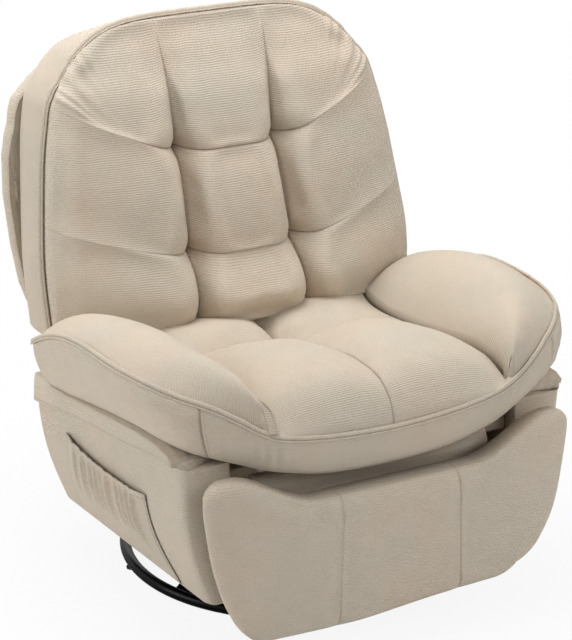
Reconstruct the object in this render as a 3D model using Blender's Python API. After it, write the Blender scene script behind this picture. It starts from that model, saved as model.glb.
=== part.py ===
# Swivel glider recliner, modelled piece by piece in metres, +Z up.
# The chair faces -Y and its swivel axis is the vertical line that all places are measured from.
import math

import bmesh
import bpy
import numpy as np
from mathutils import Vector

# The swivel axis stands a little behind the middle of the chair's footprint
swivel_axis_y = -0.021

seat_gap = 0.0003          # clearance left between pieces that touch
pivot_gap = 0.0003         # radial clearance of a rivet in its hole
layer_gap = 0.002          # side clearance between stacked links
link_wall = 0.004

# Floor base
ring_radius = 0.320
ring_tube = 0.011
glide_height = 0.0035
glide_radius = 0.011
glide_count = 4
glide_turn = math.radians(-8.0)
arm_count = 4
arm_turn = math.radians(22.5)
arm_width = 0.036
arm_wall = 0.007
arm_bend = 0.228           # where the arm starts to fall towards the ring
arm_root = 0.060
hub_radius = 0.105
hub_wall = 0.005
hub_base = 0.050
race_radius = 0.072
cage_width = 0.013
cage_wall = 0.0024
ball_radius = 0.0045
race_groove = 0.0027
race_groove_half = 0.00405
race_bore = 0.016
ball_count = 8
turntable_wall = 0.005
turntable_radius = 0.118

# Glider
link_length = 0.110
link_reach = 0.110         # fore and aft distance of the glider pivots from the swivel axis
glide_top = 0.235
link_half_width = 0.012
rivet_radius = 0.004
rivet_head = 0.007
rivet_head_wall = 0.0012
cross_height = 0.020
cross_depth = 0.040
cross_reach = 0.088

# Steel side plates of the seat mechanism
plate_x = 0.245
plate_top = 0.312
plate_bottom = 0.110
plate_front = -0.316
plate_rear = 0.190
tie_radius = 0.0125
tie_front_y = -0.165
tie_rear_y = 0.165
tie_z = 0.282

# Footrest linkage, seen from the side: y forward is negative, angles run from forward to up
drive_pivot = (-0.2247, 0.2734)
drive_length = 0.160
drive_angle = -145.0
lift_length = 0.2844
lift_angle = 18.64
tail_back = 0.0310
tail_rise = 0.0418
follow_pivot = (-0.1823, 0.2995)
follow_length = 0.1587
follow_angle = -145.6
stay_pivot_along = 0.1866
stay_pivot_side = 0.0202
stay_length = 0.3286
stay_angle = 8.28
footrest_link_radius = 0.0115
open_pivot_gap = 0.0029    # radial room where the real linkage closes on itself

# Timber of the seat box
timber = 0.022
rail_height = 0.040
front_rail_y = -0.318
rear_rail_y = 0.157
arm_board_x = 0.296
arm_board_wall = 0.015
arm_board_top = 0.408
arm_board_bottom = 0.125
arm_board_front = -0.318
arm_board_rear = 0.225
spring_wire = 0.0018
spring_pitch = 0.050
spring_swing = 0.022
seat_spring_xs = (-0.165, -0.055, 0.055, 0.165)

# Seat cushion
seat_half_width = 0.249
seat_front = -0.408
seat_rear = 0.150
seat_tuft_y = 0.004
seat_tuft_z = 0.412
seat_bulge = 0.045
seat_top_line = ((seat_front, 0.470), (-0.368, 0.480), (-0.320, 0.491), (-0.257, 0.498),
                 (-0.184, 0.484), (-0.100, 0.458), (seat_tuft_y, seat_tuft_z + seat_bulge / 2.0),
                 (seat_rear, 0.430))
seat_edge_drop = 0.006
seat_front_roll = 0.050
seat_front_full = 0.4      # share of a front cell from which it keeps its height to the front
seat_rear_roll = 0.020
seat_rear_z = 0.420
seat_foot_inset = 0.006
seat_side_gap = 0.0063     # room beside the seat cushion for the release tab
cushion_bottom = 0.3567
lip_start = -0.360
lip_rise = 0.006
lip_clear = 0.0016
lip_rows = (0.000, 0.012, 0.030)

# Padded band under the arms and seat front: (x, y, z) from the front middle to the rear
band_top_line = (
    (0.000, -0.409, 0.412), (0.120, -0.408, 0.416), (0.215, -0.404, 0.430), (0.262, -0.401, 0.452),
    (0.300, -0.393, 0.481), (0.342, -0.369, 0.504), (0.385, -0.333, 0.519), (0.420, -0.280, 0.532),
    (0.442, -0.190, 0.536), (0.449, -0.070, 0.533), (0.453, 0.020, 0.520), (0.452, 0.100, 0.492),
    (0.446, 0.165, 0.456))
band_low_line = (
    (0.000, -0.394, 0.336), (0.120, -0.392, 0.341), (0.200, -0.386, 0.356), (0.240, -0.380, 0.366),
    (0.275, -0.370, 0.378), (0.320, -0.352, 0.392), (0.362, -0.326, 0.404), (0.384, -0.270, 0.407),
    (0.392, -0.180, 0.401), (0.398, -0.070, 0.386), (0.404, 0.020, 0.373), (0.408, 0.100, 0.362),
    (0.411, 0.180, 0.353))
band_wall = 0.016
band_bulge = ((0.0, 0.010), (4.0, 0.012), (5.5, 0.020), (8.0, 0.020), (9.5, 0.012),
              (12.0, 0.010))
band_clear = 0.0015         # room under the band for the pieces that meet it
band_split = 2             # the front length ends at this point of the lines

# Arm pads
pad_inner_x = seat_half_width + seat_side_gap
pad_front = -0.381
pad_rear_inner = 0.150
pad_rear_bow = 0.040       # how far the rear end runs back beside the back cushion
pad_rear_drop = 0.10
pad_start = 3.2            # where the pads begin along the band
pad_crest = ((-0.384, 0.302, 0.516), (-0.350, 0.315, 0.554), (-0.280, 0.335, 0.578),
             (-0.180, 0.350, 0.586), (-0.080, 0.358, 0.580), (0.010, 0.362, 0.560),
             (0.100, 0.366, 0.530), (0.210, 0.372, 0.492))
pad_valley = ((-0.384, 0.460), (-0.350, 0.478), (-0.300, 0.485), (-0.238, 0.482), (-0.147, 0.467),
              (-0.038, 0.450), (0.057, 0.428), (0.170, 0.416))

# Side panels and pocket
panel_bottom = 0.108
panel_front = -0.347
panel_wrap_x = 0.2963
panel_rear_top = 0.262
panel_rear_bottom = 0.160
panel_low_front_x = 0.341
panel_low_rear_x = 0.396
panel_top_front_x = 0.388
panel_top_rear_x = 0.410
panel_bulge = 0.012
panel_corner = 0.020
strip_height = 0.028
strip_proud = 0.006
pocket_wall = 0.003
pocket_room = 0.021
pocket_top = 0.282
pocket_bottom = 0.118
pocket_front_top = -0.205
pocket_front_bottom = -0.262
pocket_rear = 0.110

# Apron behind the footrest
apron_wall = 0.024
apron_half_width = 0.243
apron_bottom = 0.165

# Footrest
board_wall = 0.012
board_clear = 0.0305       # the board stands this far before the side panels' fronts
board_ear = 0.012          # steel of the brackets around their pivots
board_half_width = 0.300
board_low = 0.108
board_high = 0.300
foot_seam_top = 0.120
foot_seam_bottom = 0.1275
foot_low = 0.056
foot_top_middle = 0.313
foot_top_side = 0.376
foot_edge = ((0.056, 0.268), (0.085, 0.300), (0.125, 0.323), (0.195, 0.350), (0.277, 0.367),
             (0.335, 0.374), (0.376, 0.371))
foot_wall_middle = 0.0525   # depth of the pad's front from the board's back
foot_wall_edge = 0.0275
foot_bulge = 0.022

# Back
hinge_y = 0.200
hinge_z = 0.360
back_base_y = 0.226
back_base_z = 0.447
back_lean = math.radians(12.0)
cushion_rim = 0.020
back_bottom = 0.434
back_edge = ((0.434, 0.398), (0.567, 0.398), (0.660, 0.388), (0.825, 0.360), (0.875, 0.345),
             (0.918, 0.312))
back_top_middle = 1.008
back_corner = (0.312, 0.918)
back_top_power = 4.7
seam_bottom_x = 0.1205
tuft_low = (0.111, 0.574)
tuft_high = (0.106, 0.764)
seam_top_x = 0.115
seam_low_edge_z = 0.646
seam_high_edge_z = 0.867
crown_bottom = 0.098
crown_low = 0.080
crown_high = 0.052
back_bulge = 0.056
boxing_depth = 0.075
boxing_wall = 0.014
back_timber = 0.0234
back_timber_depth = 0.022
bracket_bend_z = 0.424
bracket_top_z = 0.600
bracket_half_width = 0.0105
back_rail_low = 0.400
back_rail_high = back_corner[1] - 0.018
cross_rail_height = 0.045
back_spring_xs = (-0.150, -0.050, 0.050, 0.150)
outer_edge = ((0.225, 0.300), (0.405, 0.304), (0.435, 0.376), (0.520, 0.397), (0.630, 0.412),
              (0.730, 0.419), (0.800, 0.414), (0.867, 0.394), (0.908, 0.358))
outer_bottom = 0.225
outer_top = ((0.0, 1.002), (0.150, 0.998), (0.220, 0.984), (0.270, 0.958), (0.312, 0.926),
             (0.358, 0.908), (0.450, 0.890))
outer_edge_depth = 0.040
outer_bulge = 0.052

# Release
tab_wall = 0.0045
tab_width = 0.026
tab_length = 0.070
tab_centre = (-(pad_inner_x - seat_gap - tab_wall / 2.0), -0.330, 0.464)
tab_tilt = math.radians(30.0)
lever_pivot = (-0.033, 0.166)
lever_nose = (-0.072, 0.198)
lever_arm = (0.004, 0.186)
cable_radius = 0.002
cable_drop = ((0.0000, -0.291, 0.362), (0.0037, -0.287, 0.345), (0.0117, -0.282, 0.333))
cable_run = ((0.016, -0.262, 0.322), (0.019, -0.225, 0.304), (0.019, -0.195, 0.300),
             (0.019, -0.130, 0.300), (0.019, -0.080, 0.294), (0.019, -0.030, 0.282),
             (0.017, 0.000, 0.268), (0.011, 0.012, 0.262), (seat_gap, 0.014, 0.262))

# Colours, with roughness and metallic value
fabric = ((0.56, 0.49, 0.40, 1.0), 0.95, 0.0)
steel_black = ((0.012, 0.012, 0.013, 1.0), 0.35, 0.9)
steel_zinc = ((0.42, 0.43, 0.44, 1.0), 0.40, 1.0)
wood = ((0.46, 0.32, 0.18, 1.0), 0.75, 0.0)
plastic_black = ((0.02, 0.02, 0.02, 1.0), 0.55, 0.0)

parts = bpy.data.collections.new("swivel_glider_recliner")
bodies = {}


def clear_scene():
    for item in list(bpy.data.objects):
        bpy.data.objects.remove(item, do_unlink=True)


def add_body(name, parent, x, y, z):
    """An empty on the joint's axis, which carries the pieces of one moving body."""
    empty = bpy.data.objects.new(name + "_axis", None)
    parts.objects.link(empty)
    here = Vector((x, y, z))
    if parent is None:
        empty.location = here + Vector((0.0, swivel_axis_y, 0.0))
    else:
        empty.parent = bodies[parent][0]
        empty.location = here - bodies[parent][1]
    bodies[name] = (empty, here)


def add_piece(item, body, paint, smooth=False):
    """Names, paints and hangs a piece on its body, without moving it."""
    colour, roughness, metallic = paint
    skin = bpy.data.materials.new(item.name)
    skin.use_nodes = True
    shader = skin.node_tree.nodes["Principled BSDF"]
    shader.inputs["Base Color"].default_value = colour
    shader.inputs["Roughness"].default_value = roughness
    shader.inputs["Metallic"].default_value = metallic
    item.data.materials.clear()
    item.data.materials.append(skin)
    if smooth and item.type == "MESH":
        item.data.shade_smooth()
        item.data.set_sharp_from_angle(angle=math.radians(40.0))
    parts.objects.link(item)
    empty, here = bodies[body]
    item.parent = empty
    item.location = Vector(item.location) - here
    return item


def mesh_object(name, bm):
    bmesh.ops.recalc_face_normals(bm, faces=bm.faces)
    if bm.calc_volume(signed=True) < 0.0:
        bmesh.ops.reverse_faces(bm, faces=bm.faces)
    mesh = bpy.data.meshes.new(name)
    bm.to_mesh(mesh)
    bm.free()
    return bpy.data.objects.new(name, mesh)


def circle(centre, radius, count=12):
    steps = np.arange(count) * 2.0 * math.pi / count
    return [(centre[0] + radius * math.cos(a), centre[1] + radius * math.sin(a)) for a in steps]


def rounded(corners, radius, steps=3):
    """A closed outline whose corners are arcs of the given radius."""
    outline = []
    count = len(corners)
    for i, corner in enumerate(corners):
        here = Vector(corner)
        back = (Vector(corners[i - 1]) - here).normalized()
        ahead = (Vector(corners[(i + 1) % count]) - here).normalized()
        half = back.angle(ahead) / 2.0
        reach = radius / math.tan(half)
        centre = here + (back + ahead).normalized() * radius / math.sin(half)
        start = here + back * reach - centre
        end = here + ahead * reach - centre
        sweep = start.angle_signed(end)
        for k in range(steps + 1):
            turn = -sweep * k / steps
            cos, sin = math.cos(turn), math.sin(turn)
            outline.append((centre.x + start.x * cos - start.y * sin,
                            centre.y + start.x * sin + start.y * cos))
    return outline


def bar_outline(a, b, radius):
    """A flat bar with round ends about the points a and b."""
    along_bar = math.atan2(b[1] - a[1], b[0] - a[0])
    outline = []
    for centre, start in ((a, along_bar + math.pi / 2.0), (b, along_bar - math.pi / 2.0)):
        for k in range(7):
            turn = start + math.pi * k / 6.0
            outline.append((centre[0] + radius * math.cos(turn), centre[1] + radius * math.sin(turn)))
    return outline


def flat_curve(name, loops, wall):
    """A flat outline with holes, as a filled 2D curve as thick as the wall."""
    curve = bpy.data.curves.new(name, "CURVE")
    curve.dimensions = "2D"
    curve.fill_mode = "BOTH"
    curve.extrude = wall / 2.0
    for loop in loops:
        spline = curve.splines.new("POLY")
        spline.points.add(len(loop) - 1)
        for point, place in zip(spline.points, loop):
            point.co = (place[0], place[1], 0.0, 1.0)
        spline.use_cyclic_u = True
    return bpy.data.objects.new(name, curve)


def as_mesh(item):
    """The evaluated mesh of an object, moved to its place and welded."""
    home = bpy.context.scene.collection
    home.objects.link(item)
    bpy.context.view_layer.update()
    evaluated = item.evaluated_get(bpy.context.evaluated_depsgraph_get())
    mesh = bpy.data.meshes.new_from_object(evaluated)
    mesh.transform(item.matrix_world)
    name = item.name
    bpy.data.objects.remove(item, do_unlink=True)
    bm = bmesh.new()
    bm.from_mesh(mesh)
    bmesh.ops.remove_doubles(bm, verts=bm.verts, dist=0.00001)
    bm.to_mesh(mesh)
    bm.free()
    return bpy.data.objects.new(name, mesh)


def united(base, others):
    """One welded body made from pieces that run into each other."""
    for other in others:
        bpy.context.scene.collection.objects.link(other)
        join = base.modifiers.new("weld", "BOOLEAN")
        join.operation = "UNION"
        join.solver = "EXACT"
        join.object = other
    whole = as_mesh(base)
    for other in others:
        bpy.data.objects.remove(other, do_unlink=True)
    return whole


def side_plate(name, loops, x_inner, wall, side, rivets=()):
    """An upright plate whose outline is given in Y and Z, with rivets fixed in it.

    A rivet is (centre, x of the far face of what it holds); all x are measured outwards.
    """
    flat = flat_curve(name, loops, wall)
    flat.rotation_euler = (math.pi / 2.0, 0.0, math.pi / 2.0)
    flat.location = (side * (x_inner + wall / 2.0), 0.0, 0.0)
    if not rivets:
        return flat
    middle = x_inner + wall / 2.0
    pins = [turned_rivet(centre, side * middle, side * far) for centre, far in rivets]
    return united(as_mesh(flat), pins)


def turned_rivet(centre, root, far, steps=10):
    """A shank from its root to the far face, and a head past it, along X through the centre."""
    way = 1.0 if far > root else -1.0
    neck = far + way * seat_gap
    top = neck + way * rivet_head_wall
    profile = ((root, 0.0), (root, rivet_radius), (neck, rivet_radius), (neck, rivet_head),
               (top, rivet_head), (top, 0.0))
    bm = bmesh.new()
    verts = [bm.verts.new((x, centre[0] + r, centre[1])) for x, r in profile]
    edges = [bm.edges.new(pair) for pair in zip(verts, verts[1:])]
    bmesh.ops.spin(bm, geom=verts + edges, cent=(0.0, centre[0], centre[1]),
                   axis=(1.0, 0.0, 0.0), angle=2.0 * math.pi, steps=steps)
    bmesh.ops.remove_doubles(bm, verts=bm.verts, dist=0.00002)
    return mesh_object("rivet", bm)


def add_box(bm, low, high, edge=0.002):
    """A box between two corners with softened edges."""
    made = bmesh.ops.create_cube(bm, size=1.0)
    for vert in made["verts"]:
        for k in range(3):
            vert.co[k] = low[k] if vert.co[k] < 0.0 else high[k]
    edges = {side for vert in made["verts"] for side in vert.link_edges}
    bmesh.ops.bevel(bm, geom=list(edges), offset=edge, segments=1, affect="EDGES")


def block(name, low, high, edge=0.002):
    bm = bmesh.new()
    add_box(bm, low, high, edge)
    return mesh_object(name, bm)


def tube(name, points, radius, resolution=1):
    curve = bpy.data.curves.new(name, "CURVE")
    curve.dimensions = "3D"
    curve.bevel_depth = radius
    curve.bevel_resolution = resolution
    curve.use_fill_caps = True
    spline = curve.splines.new("POLY")
    spline.points.add(len(points) - 1)
    for point, place in zip(spline.points, points):
        point.co = (place[0], place[1], place[2], 1.0)
    return bpy.data.objects.new(name, curve)


def soft_solid(name, columns, rows, face, reverse):
    """A closed pad: a grid of columns and rows laid on one surface, extruded to another."""
    bm = bmesh.new()
    wide, tall = len(columns) - 1, len(rows) - 1
    bmesh.ops.create_grid(bm, x_segments=wide, y_segments=tall, size=1.0)
    made = bmesh.ops.extrude_face_region(bm, geom=bm.faces[:], use_keep_orig=True)
    copies = {item for item in made["geom"] if isinstance(item, bmesh.types.BMVert)}
    for vert in bm.verts:
        i = round((vert.co.x + 1.0) / 2.0 * wide)
        j = round((vert.co.y + 1.0) / 2.0 * tall)
        surface = reverse if vert in copies else face
        vert.co = surface(columns[i], rows[j])
    return mesh_object(name, bm)


def stops(*edges, cuts=(0.12, 0.34, 0.66, 0.88)):
    """Stations between the given edges, closer together near each edge."""
    places = [edges[0]]
    for start, end in zip(edges, edges[1:]):
        places += [start + (end - start) * c for c in cuts] + [end]
    return places


def swell(share):
    """Height of a stuffed cell across its width: none at its seams, full in its middle."""
    return math.sqrt(max(0.0, 1.0 - abs(2.0 * share - 1.0) ** 2.6))


def cell_height(share_a, share_b, seam=0.5):
    """Height of a cell against its tufts, where a seam alone is held half as deep as a tuft."""
    a, b = 1.0 - swell(share_a), 1.0 - swell(share_b)
    return 1.0 - seam * a - seam * b - (1.0 - 2.0 * seam) * a * b


def along(line, place, column):
    """Reads one column of a table of points at a place in its first column."""
    table = np.array(line)
    return float(np.interp(place, table[:, 0], table[:, column]))


def on_link(pivot, angle, length, side=0.0):
    """A point on a link of the footrest, at a length along it and a distance to its upper side."""
    turn = math.radians(angle)
    ahead = length * math.cos(turn) - side * math.sin(turn)
    rise = length * math.sin(turn) + side * math.cos(turn)
    return (pivot[0] - ahead, pivot[1] + rise)


def build_base():
    ring_z = glide_height + ring_tube
    bpy.ops.mesh.primitive_torus_add(major_radius=ring_radius, minor_radius=ring_tube,
                                     major_segments=56, minor_segments=8,
                                     location=(0.0, 0.0, ring_z))
    ring = bpy.context.object
    ring.name = "base_ring"
    for home in list(ring.users_collection):
        home.objects.unlink(ring)
    add_piece(ring, "floor_base", steel_black, True)

    for k in range(glide_count):
        turn = glide_turn + 2.0 * math.pi * k / glide_count
        bm = bmesh.new()
        bmesh.ops.create_cone(bm, cap_ends=True, segments=12, radius1=glide_radius,
                              radius2=glide_radius, depth=glide_height - seat_gap)
        move = Vector((ring_radius * math.cos(turn), ring_radius * math.sin(turn),
                       (glide_height - seat_gap) / 2.0))
        bmesh.ops.translate(bm, verts=bm.verts, vec=move)
        add_piece(mesh_object("floor_glide_%d" % (k + 1), bm), "floor_base", plastic_black)

    hub_top = hub_base + hub_wall
    spider = turned_race("base_spider", hub_radius, hub_base, hub_top)
    arms = [base_arm(k, ring_z) for k in range(arm_count)]
    add_piece(united(spider, arms), "floor_base", steel_black)

    flank = math.hypot(race_groove, race_groove_half)
    seat = (ball_radius + seat_gap) * flank / race_groove_half - race_groove
    ball_z = hub_top + seat
    half = cage_wall / 2.0
    cage = turned_ring("ball_cage", race_radius - cage_width / 2.0, race_radius + cage_width / 2.0,
                       ball_z - half, ball_z + half, 24)
    balls = []
    for k in range(ball_count):
        turn = 2.0 * math.pi * (k + 0.5) / ball_count
        bm = bmesh.new()
        bmesh.ops.create_uvsphere(bm, u_segments=8, v_segments=4, radius=ball_radius)
        move = Vector((race_radius * math.cos(turn), race_radius * math.sin(turn), ball_z))
        bmesh.ops.translate(bm, verts=bm.verts, vec=move)
        balls.append(mesh_object("ball", bm))
    add_piece(united(cage, balls), "floor_base", steel_zinc)
    return ball_z + seat


def base_arm(number, ring_z):
    """A flat bar that rises from the ring and runs level under the hub."""
    arm_end = math.sqrt((ring_radius - ring_tube - seat_gap) ** 2 - (arm_width / 2.0) ** 2)
    level = hub_base + hub_wall / 2.0
    profile = [(arm_end, ring_z - arm_wall / 2.0), (arm_end, ring_z + arm_wall / 2.0),
               (arm_bend + arm_wall, level), (arm_root, level), (arm_root, level - arm_wall),
               (arm_bend, level - arm_wall)]
    turn = arm_turn + 2.0 * math.pi * number / arm_count
    outward = Vector((math.cos(turn), math.sin(turn), 0.0))
    across = Vector((-math.sin(turn), math.cos(turn), 0.0)) * arm_width / 2.0
    bm = bmesh.new()
    verts = [bm.verts.new(outward * r + across + Vector((0.0, 0.0, z))) for r, z in profile]
    face = bm.faces.new(verts)
    made = bmesh.ops.extrude_face_region(bm, geom=[face], use_keep_orig=True)
    moved = [item for item in made["geom"] if isinstance(item, bmesh.types.BMVert)]
    bmesh.ops.translate(bm, verts=moved, vec=across * -2.0)
    return mesh_object("arm", bm)


def spin_profile(name, profile, steps):
    """A closed profile of (radius, z) points turned about the swivel axis."""
    bm = bmesh.new()
    verts = [bm.verts.new((r, 0.0, z)) for r, z in profile]
    edges = [bm.edges.new(pair) for pair in zip(verts, verts[1:] + verts[:1])]
    bmesh.ops.spin(bm, geom=verts + edges, cent=(0.0, 0.0, 0.0), axis=(0.0, 0.0, 1.0),
                   angle=2.0 * math.pi, steps=steps)
    bmesh.ops.remove_doubles(bm, verts=bm.verts, dist=0.00002)
    return mesh_object(name, bm)


def turned_ring(name, inner, outer, low, high, steps):
    return spin_profile(name, [(inner, low), (outer, low), (outer, high), (inner, high)], steps)


def turned_race(name, outer, flat, grooved):
    """A disc with a V groove for the balls in the side that faces them."""
    depth = race_groove if grooved > flat else -race_groove
    profile = [(race_bore, flat), (outer, flat), (outer, grooved),
               (race_radius + race_groove_half, grooved), (race_radius, grooved - depth),
               (race_radius - race_groove_half, grooved), (race_bore, grooved)]
    return spin_profile(name, profile, 24)


def build_carriage(table_base):
    table_top = table_base + turntable_wall
    table = turned_race("turntable", turntable_radius, table_top, table_base)
    link_x = plate_x - layer_gap - link_wall
    bracket_x = link_x - layer_gap - link_wall
    sunk = turntable_wall / 2.0
    crosses = []
    for place in (-cross_reach, cross_reach):
        low = (-bracket_x + seat_gap, place - cross_depth / 2.0, table_top - sunk)
        high = (bracket_x - seat_gap, place + cross_depth / 2.0, table_top + cross_height)
        crosses.append(block("cross_member", low, high))
    add_piece(united(table, crosses), "swivel_carriage", steel_black)
    lug = link_half_width + 0.003
    foot = table_top + 0.001
    wide = link_reach + lug
    corners = [(-wide, foot), (wide, foot), (wide, glide_top + lug), (-wide, glide_top + lug)]
    hole = rivet_radius + pivot_gap
    for side, label in ((-1.0, "left"), (1.0, "right")):
        loops = [rounded(corners, 0.008, 2)]
        rivets = [((reach, glide_top), link_x + link_wall) for reach in (-link_reach, link_reach)]
        bracket = side_plate("glider_bracket_" + label, loops, bracket_x, link_wall, side, rivets)
        add_piece(bracket, "swivel_carriage", steel_black)
        for name, reach in (("front", -link_reach), ("rear", link_reach)):
            top = (reach, glide_top)
            foot_pivot = (reach, glide_top - link_length)
            loops = [bar_outline(top, foot_pivot, link_half_width), circle(top, hole),
                     circle(foot_pivot, hole)]
            piece = side_plate("glider_link_" + name + "_" + label, loops, link_x, link_wall, side)
            add_piece(piece, name + "_glide_links", steel_zinc)
    return link_x


def build_side_plates(link_x):
    foot_z = glide_top - link_length
    corners = [(plate_front, plate_top), (plate_front, plate_top - 0.030), (-0.262, 0.255),
               (-0.140, plate_bottom), (0.130, plate_bottom), (0.152, 0.185), (plate_rear, 0.250),
               (plate_rear, plate_top)]
    for side, label in ((-1.0, "left"), (1.0, "right")):
        loops = [rounded(corners, 0.010, 2)]
        rivets = [((reach, foot_z), link_x) for reach in (-link_reach, link_reach)]
        rivets.append((drive_pivot, layer_x(1) + link_wall))
        rivets.append((follow_pivot, layer_x(3) + link_wall))
        if side < 0.0:
            rivets.append((lever_pivot, layer_x(1) + link_wall))
        plate = side_plate("mechanism_plate_" + label, loops, plate_x, link_wall, side, rivets)
        add_piece(plate, "seat_unit", steel_zinc)
    reach = plate_x - seat_gap
    for name, y in (("front", tie_front_y), ("rear", tie_rear_y)):
        line = [(-reach, y, tie_z), (reach, y, tie_z)]
        add_piece(tube("tie_tube_" + name, line, tie_radius, 3), "seat_unit", steel_zinc)


def layer_x(number):
    """Inner face of the link layers that lie outside the mechanism plates."""
    return plate_x + number * (link_wall + layer_gap)


def build_footrest_links():
    elbow = on_link(drive_pivot, drive_angle, drive_length)
    knee = on_link(elbow, lift_angle, lift_length)
    tail = on_link(elbow, lift_angle, -tail_back, tail_rise)
    stay_pivot = on_link(follow_pivot, follow_angle, stay_pivot_along, stay_pivot_side)
    stay_end = on_link(stay_pivot, stay_angle, stay_length)
    follow_end = on_link(follow_pivot, follow_angle, follow_length)
    hole = rivet_radius + pivot_gap
    wide = rivet_radius + open_pivot_gap
    radius = footrest_link_radius
    for side, label in ((-1.0, "left"), (1.0, "right")):
        one, two, three, four = layer_x(1), layer_x(2), layer_x(3), layer_x(4)
        loops = [bar_outline(drive_pivot, elbow, radius), circle(drive_pivot, hole)]
        rivets = [(elbow, two + link_wall)]
        piece = side_plate("drive_link_" + label, loops, one, link_wall, side, rivets)
        add_piece(piece, "drive_links", steel_zinc)

        loops = [lever_outline(knee, elbow, tail, radius), circle(elbow, hole), circle(tail, wide)]
        rivets = [(knee, three + link_wall)]
        piece = side_plate("lift_link_" + label, loops, two, link_wall, side, rivets)
        add_piece(piece, "lift_links", steel_zinc)

        loops = [lever_outline(follow_pivot, follow_end, stay_pivot, radius),
                 circle(follow_pivot, hole)]
        rivets = [(follow_end, two), (stay_pivot, four + link_wall)]
        piece = side_plate("follow_link_" + label, loops, three, link_wall, side, rivets)
        add_piece(piece, "follow_links", steel_zinc)

        loops = [bar_outline(stay_pivot, stay_end, radius), circle(stay_pivot, hole),
                 circle(stay_end, wide)]
        piece = side_plate("stay_link_" + label, loops, four, link_wall, side)
        add_piece(piece, "stay_links", steel_zinc)
        build_footrest_bracket(label, side, knee, stay_end)


def lever_outline(a, b, c, radius):
    """The outline of a three-point lever: the hull of a round boss at each point."""
    cloud = []
    for centre in (a, b, c):
        cloud += circle(centre, radius, 16)
    cloud = sorted(set((round(p[0], 7), round(p[1], 7)) for p in cloud))
    hull = []
    for points in (cloud, cloud[::-1]):
        chain = []
        for p in points:
            while len(chain) > 1 and turn_of(chain[-2], chain[-1], p) <= 1e-12:
                chain.pop()
            chain.append(p)
        hull += chain[:-1]
    return hull


def turn_of(a, b, c):
    return (b[0] - a[0]) * (c[1] - a[1]) - (b[1] - a[1]) * (c[0] - a[0])


def board_back():
    """Rear face of the footrest board, clear of the body's front and ahead of its hinges."""
    elbow = on_link(drive_pivot, drive_angle, drive_length)
    knee = on_link(elbow, lift_angle, lift_length)
    return min(panel_front - board_clear, knee[0] - board_ear)


def build_footrest_bracket(label, side, knee, stay_end):
    """An upright plate on the board's back, carried by the lift link and the stay link."""
    three, four = layer_x(3), layer_x(4)
    back = board_back() + seat_gap
    corners = [(back, knee[1] + 0.022), (knee[0] + board_ear, knee[1] + 0.014),
               (stay_end[0] + board_ear, stay_end[1] - 0.014), (back, stay_end[1] - 0.022)]
    loops = [rounded(corners, 0.003, 2), circle(knee, rivet_radius + pivot_gap)]
    rivets = [(stay_end, four + link_wall)]
    piece = side_plate("footrest_bracket_" + label, loops, three, link_wall, side, rivets)
    add_piece(piece, "footrest", steel_zinc)


def build_seat_box():
    rail_low = plate_top + seat_gap
    rail_high = rail_low + rail_height
    reach = arm_board_x - seat_gap
    low = (-reach, front_rail_y, rail_low)
    high = (reach, front_rail_y + timber, rail_high)
    add_piece(block("seat_front_rail", low, high), "seat_unit", wood)
    low = (-reach, rear_rail_y - timber, rail_low)
    high = (reach, rear_rail_y, rail_high)
    add_piece(block("seat_rear_rail", low, high), "seat_unit", wood)
    corners = [(arm_board_front, arm_board_bottom), (arm_board_rear - 0.095, arm_board_bottom),
               (arm_board_rear, arm_board_top - 0.060), (arm_board_rear - 0.030, arm_board_top),
               (arm_board_front, arm_board_top)]
    for side, label in ((-1.0, "left"), (1.0, "right")):
        loops = [rounded(corners, 0.015)]
        board = side_plate("arm_board_" + label, loops, arm_board_x, arm_board_wall, side)
        add_piece(board, "seat_unit", wood)
    start = front_rail_y + timber + seat_gap
    end = rear_rail_y - timber - seat_gap
    z = rail_high - spring_wire - seat_gap

    def on_seat(across, run):
        return (across, run, z)

    add_piece(spring_deck("seat_springs", seat_spring_xs, start, end, on_seat), "seat_unit",
              steel_zinc)


def spring_deck(name, places, start, end, place):
    """Sinuous springs side by side, held together by two straight tie wires."""
    wires = [as_mesh(tube("spring", wave(x, start, end, place), spring_wire, 0)) for x in places]
    for share in (0.33, 0.67):
        run = start + (end - start) * share
        line = [place(places[0] - 0.03, run), place(places[-1] + 0.03, run)]
        wires.append(as_mesh(tube("tie_wire", line, spring_wire * 1.05, 0)))
    deck = united(wires[-1], wires[:-1])
    deck.name = name
    return deck


def wave(centre, start, end, place):
    """A sinuous spring: a wire that swings to and fro as it runs from one rail to the other."""
    count = round((end - start) / spring_pitch)
    pitch = (end - start) / count
    points = [place(centre, start), place(centre, start + spring_wire * 2.0)]
    for k in range(count):
        swing = spring_swing if k % 2 == 0 else -spring_swing
        for share in (0.22, 0.5, 0.78):
            reach = swing * (0.8 if share != 0.5 else 1.0)
            points.append(place(centre + reach, start + pitch * (k + share)))
    points += [place(centre, end - spring_wire * 2.0), place(centre, end)]
    return points


def band_top_z(x):
    return along(band_top_line, abs(x), 2)


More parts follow.
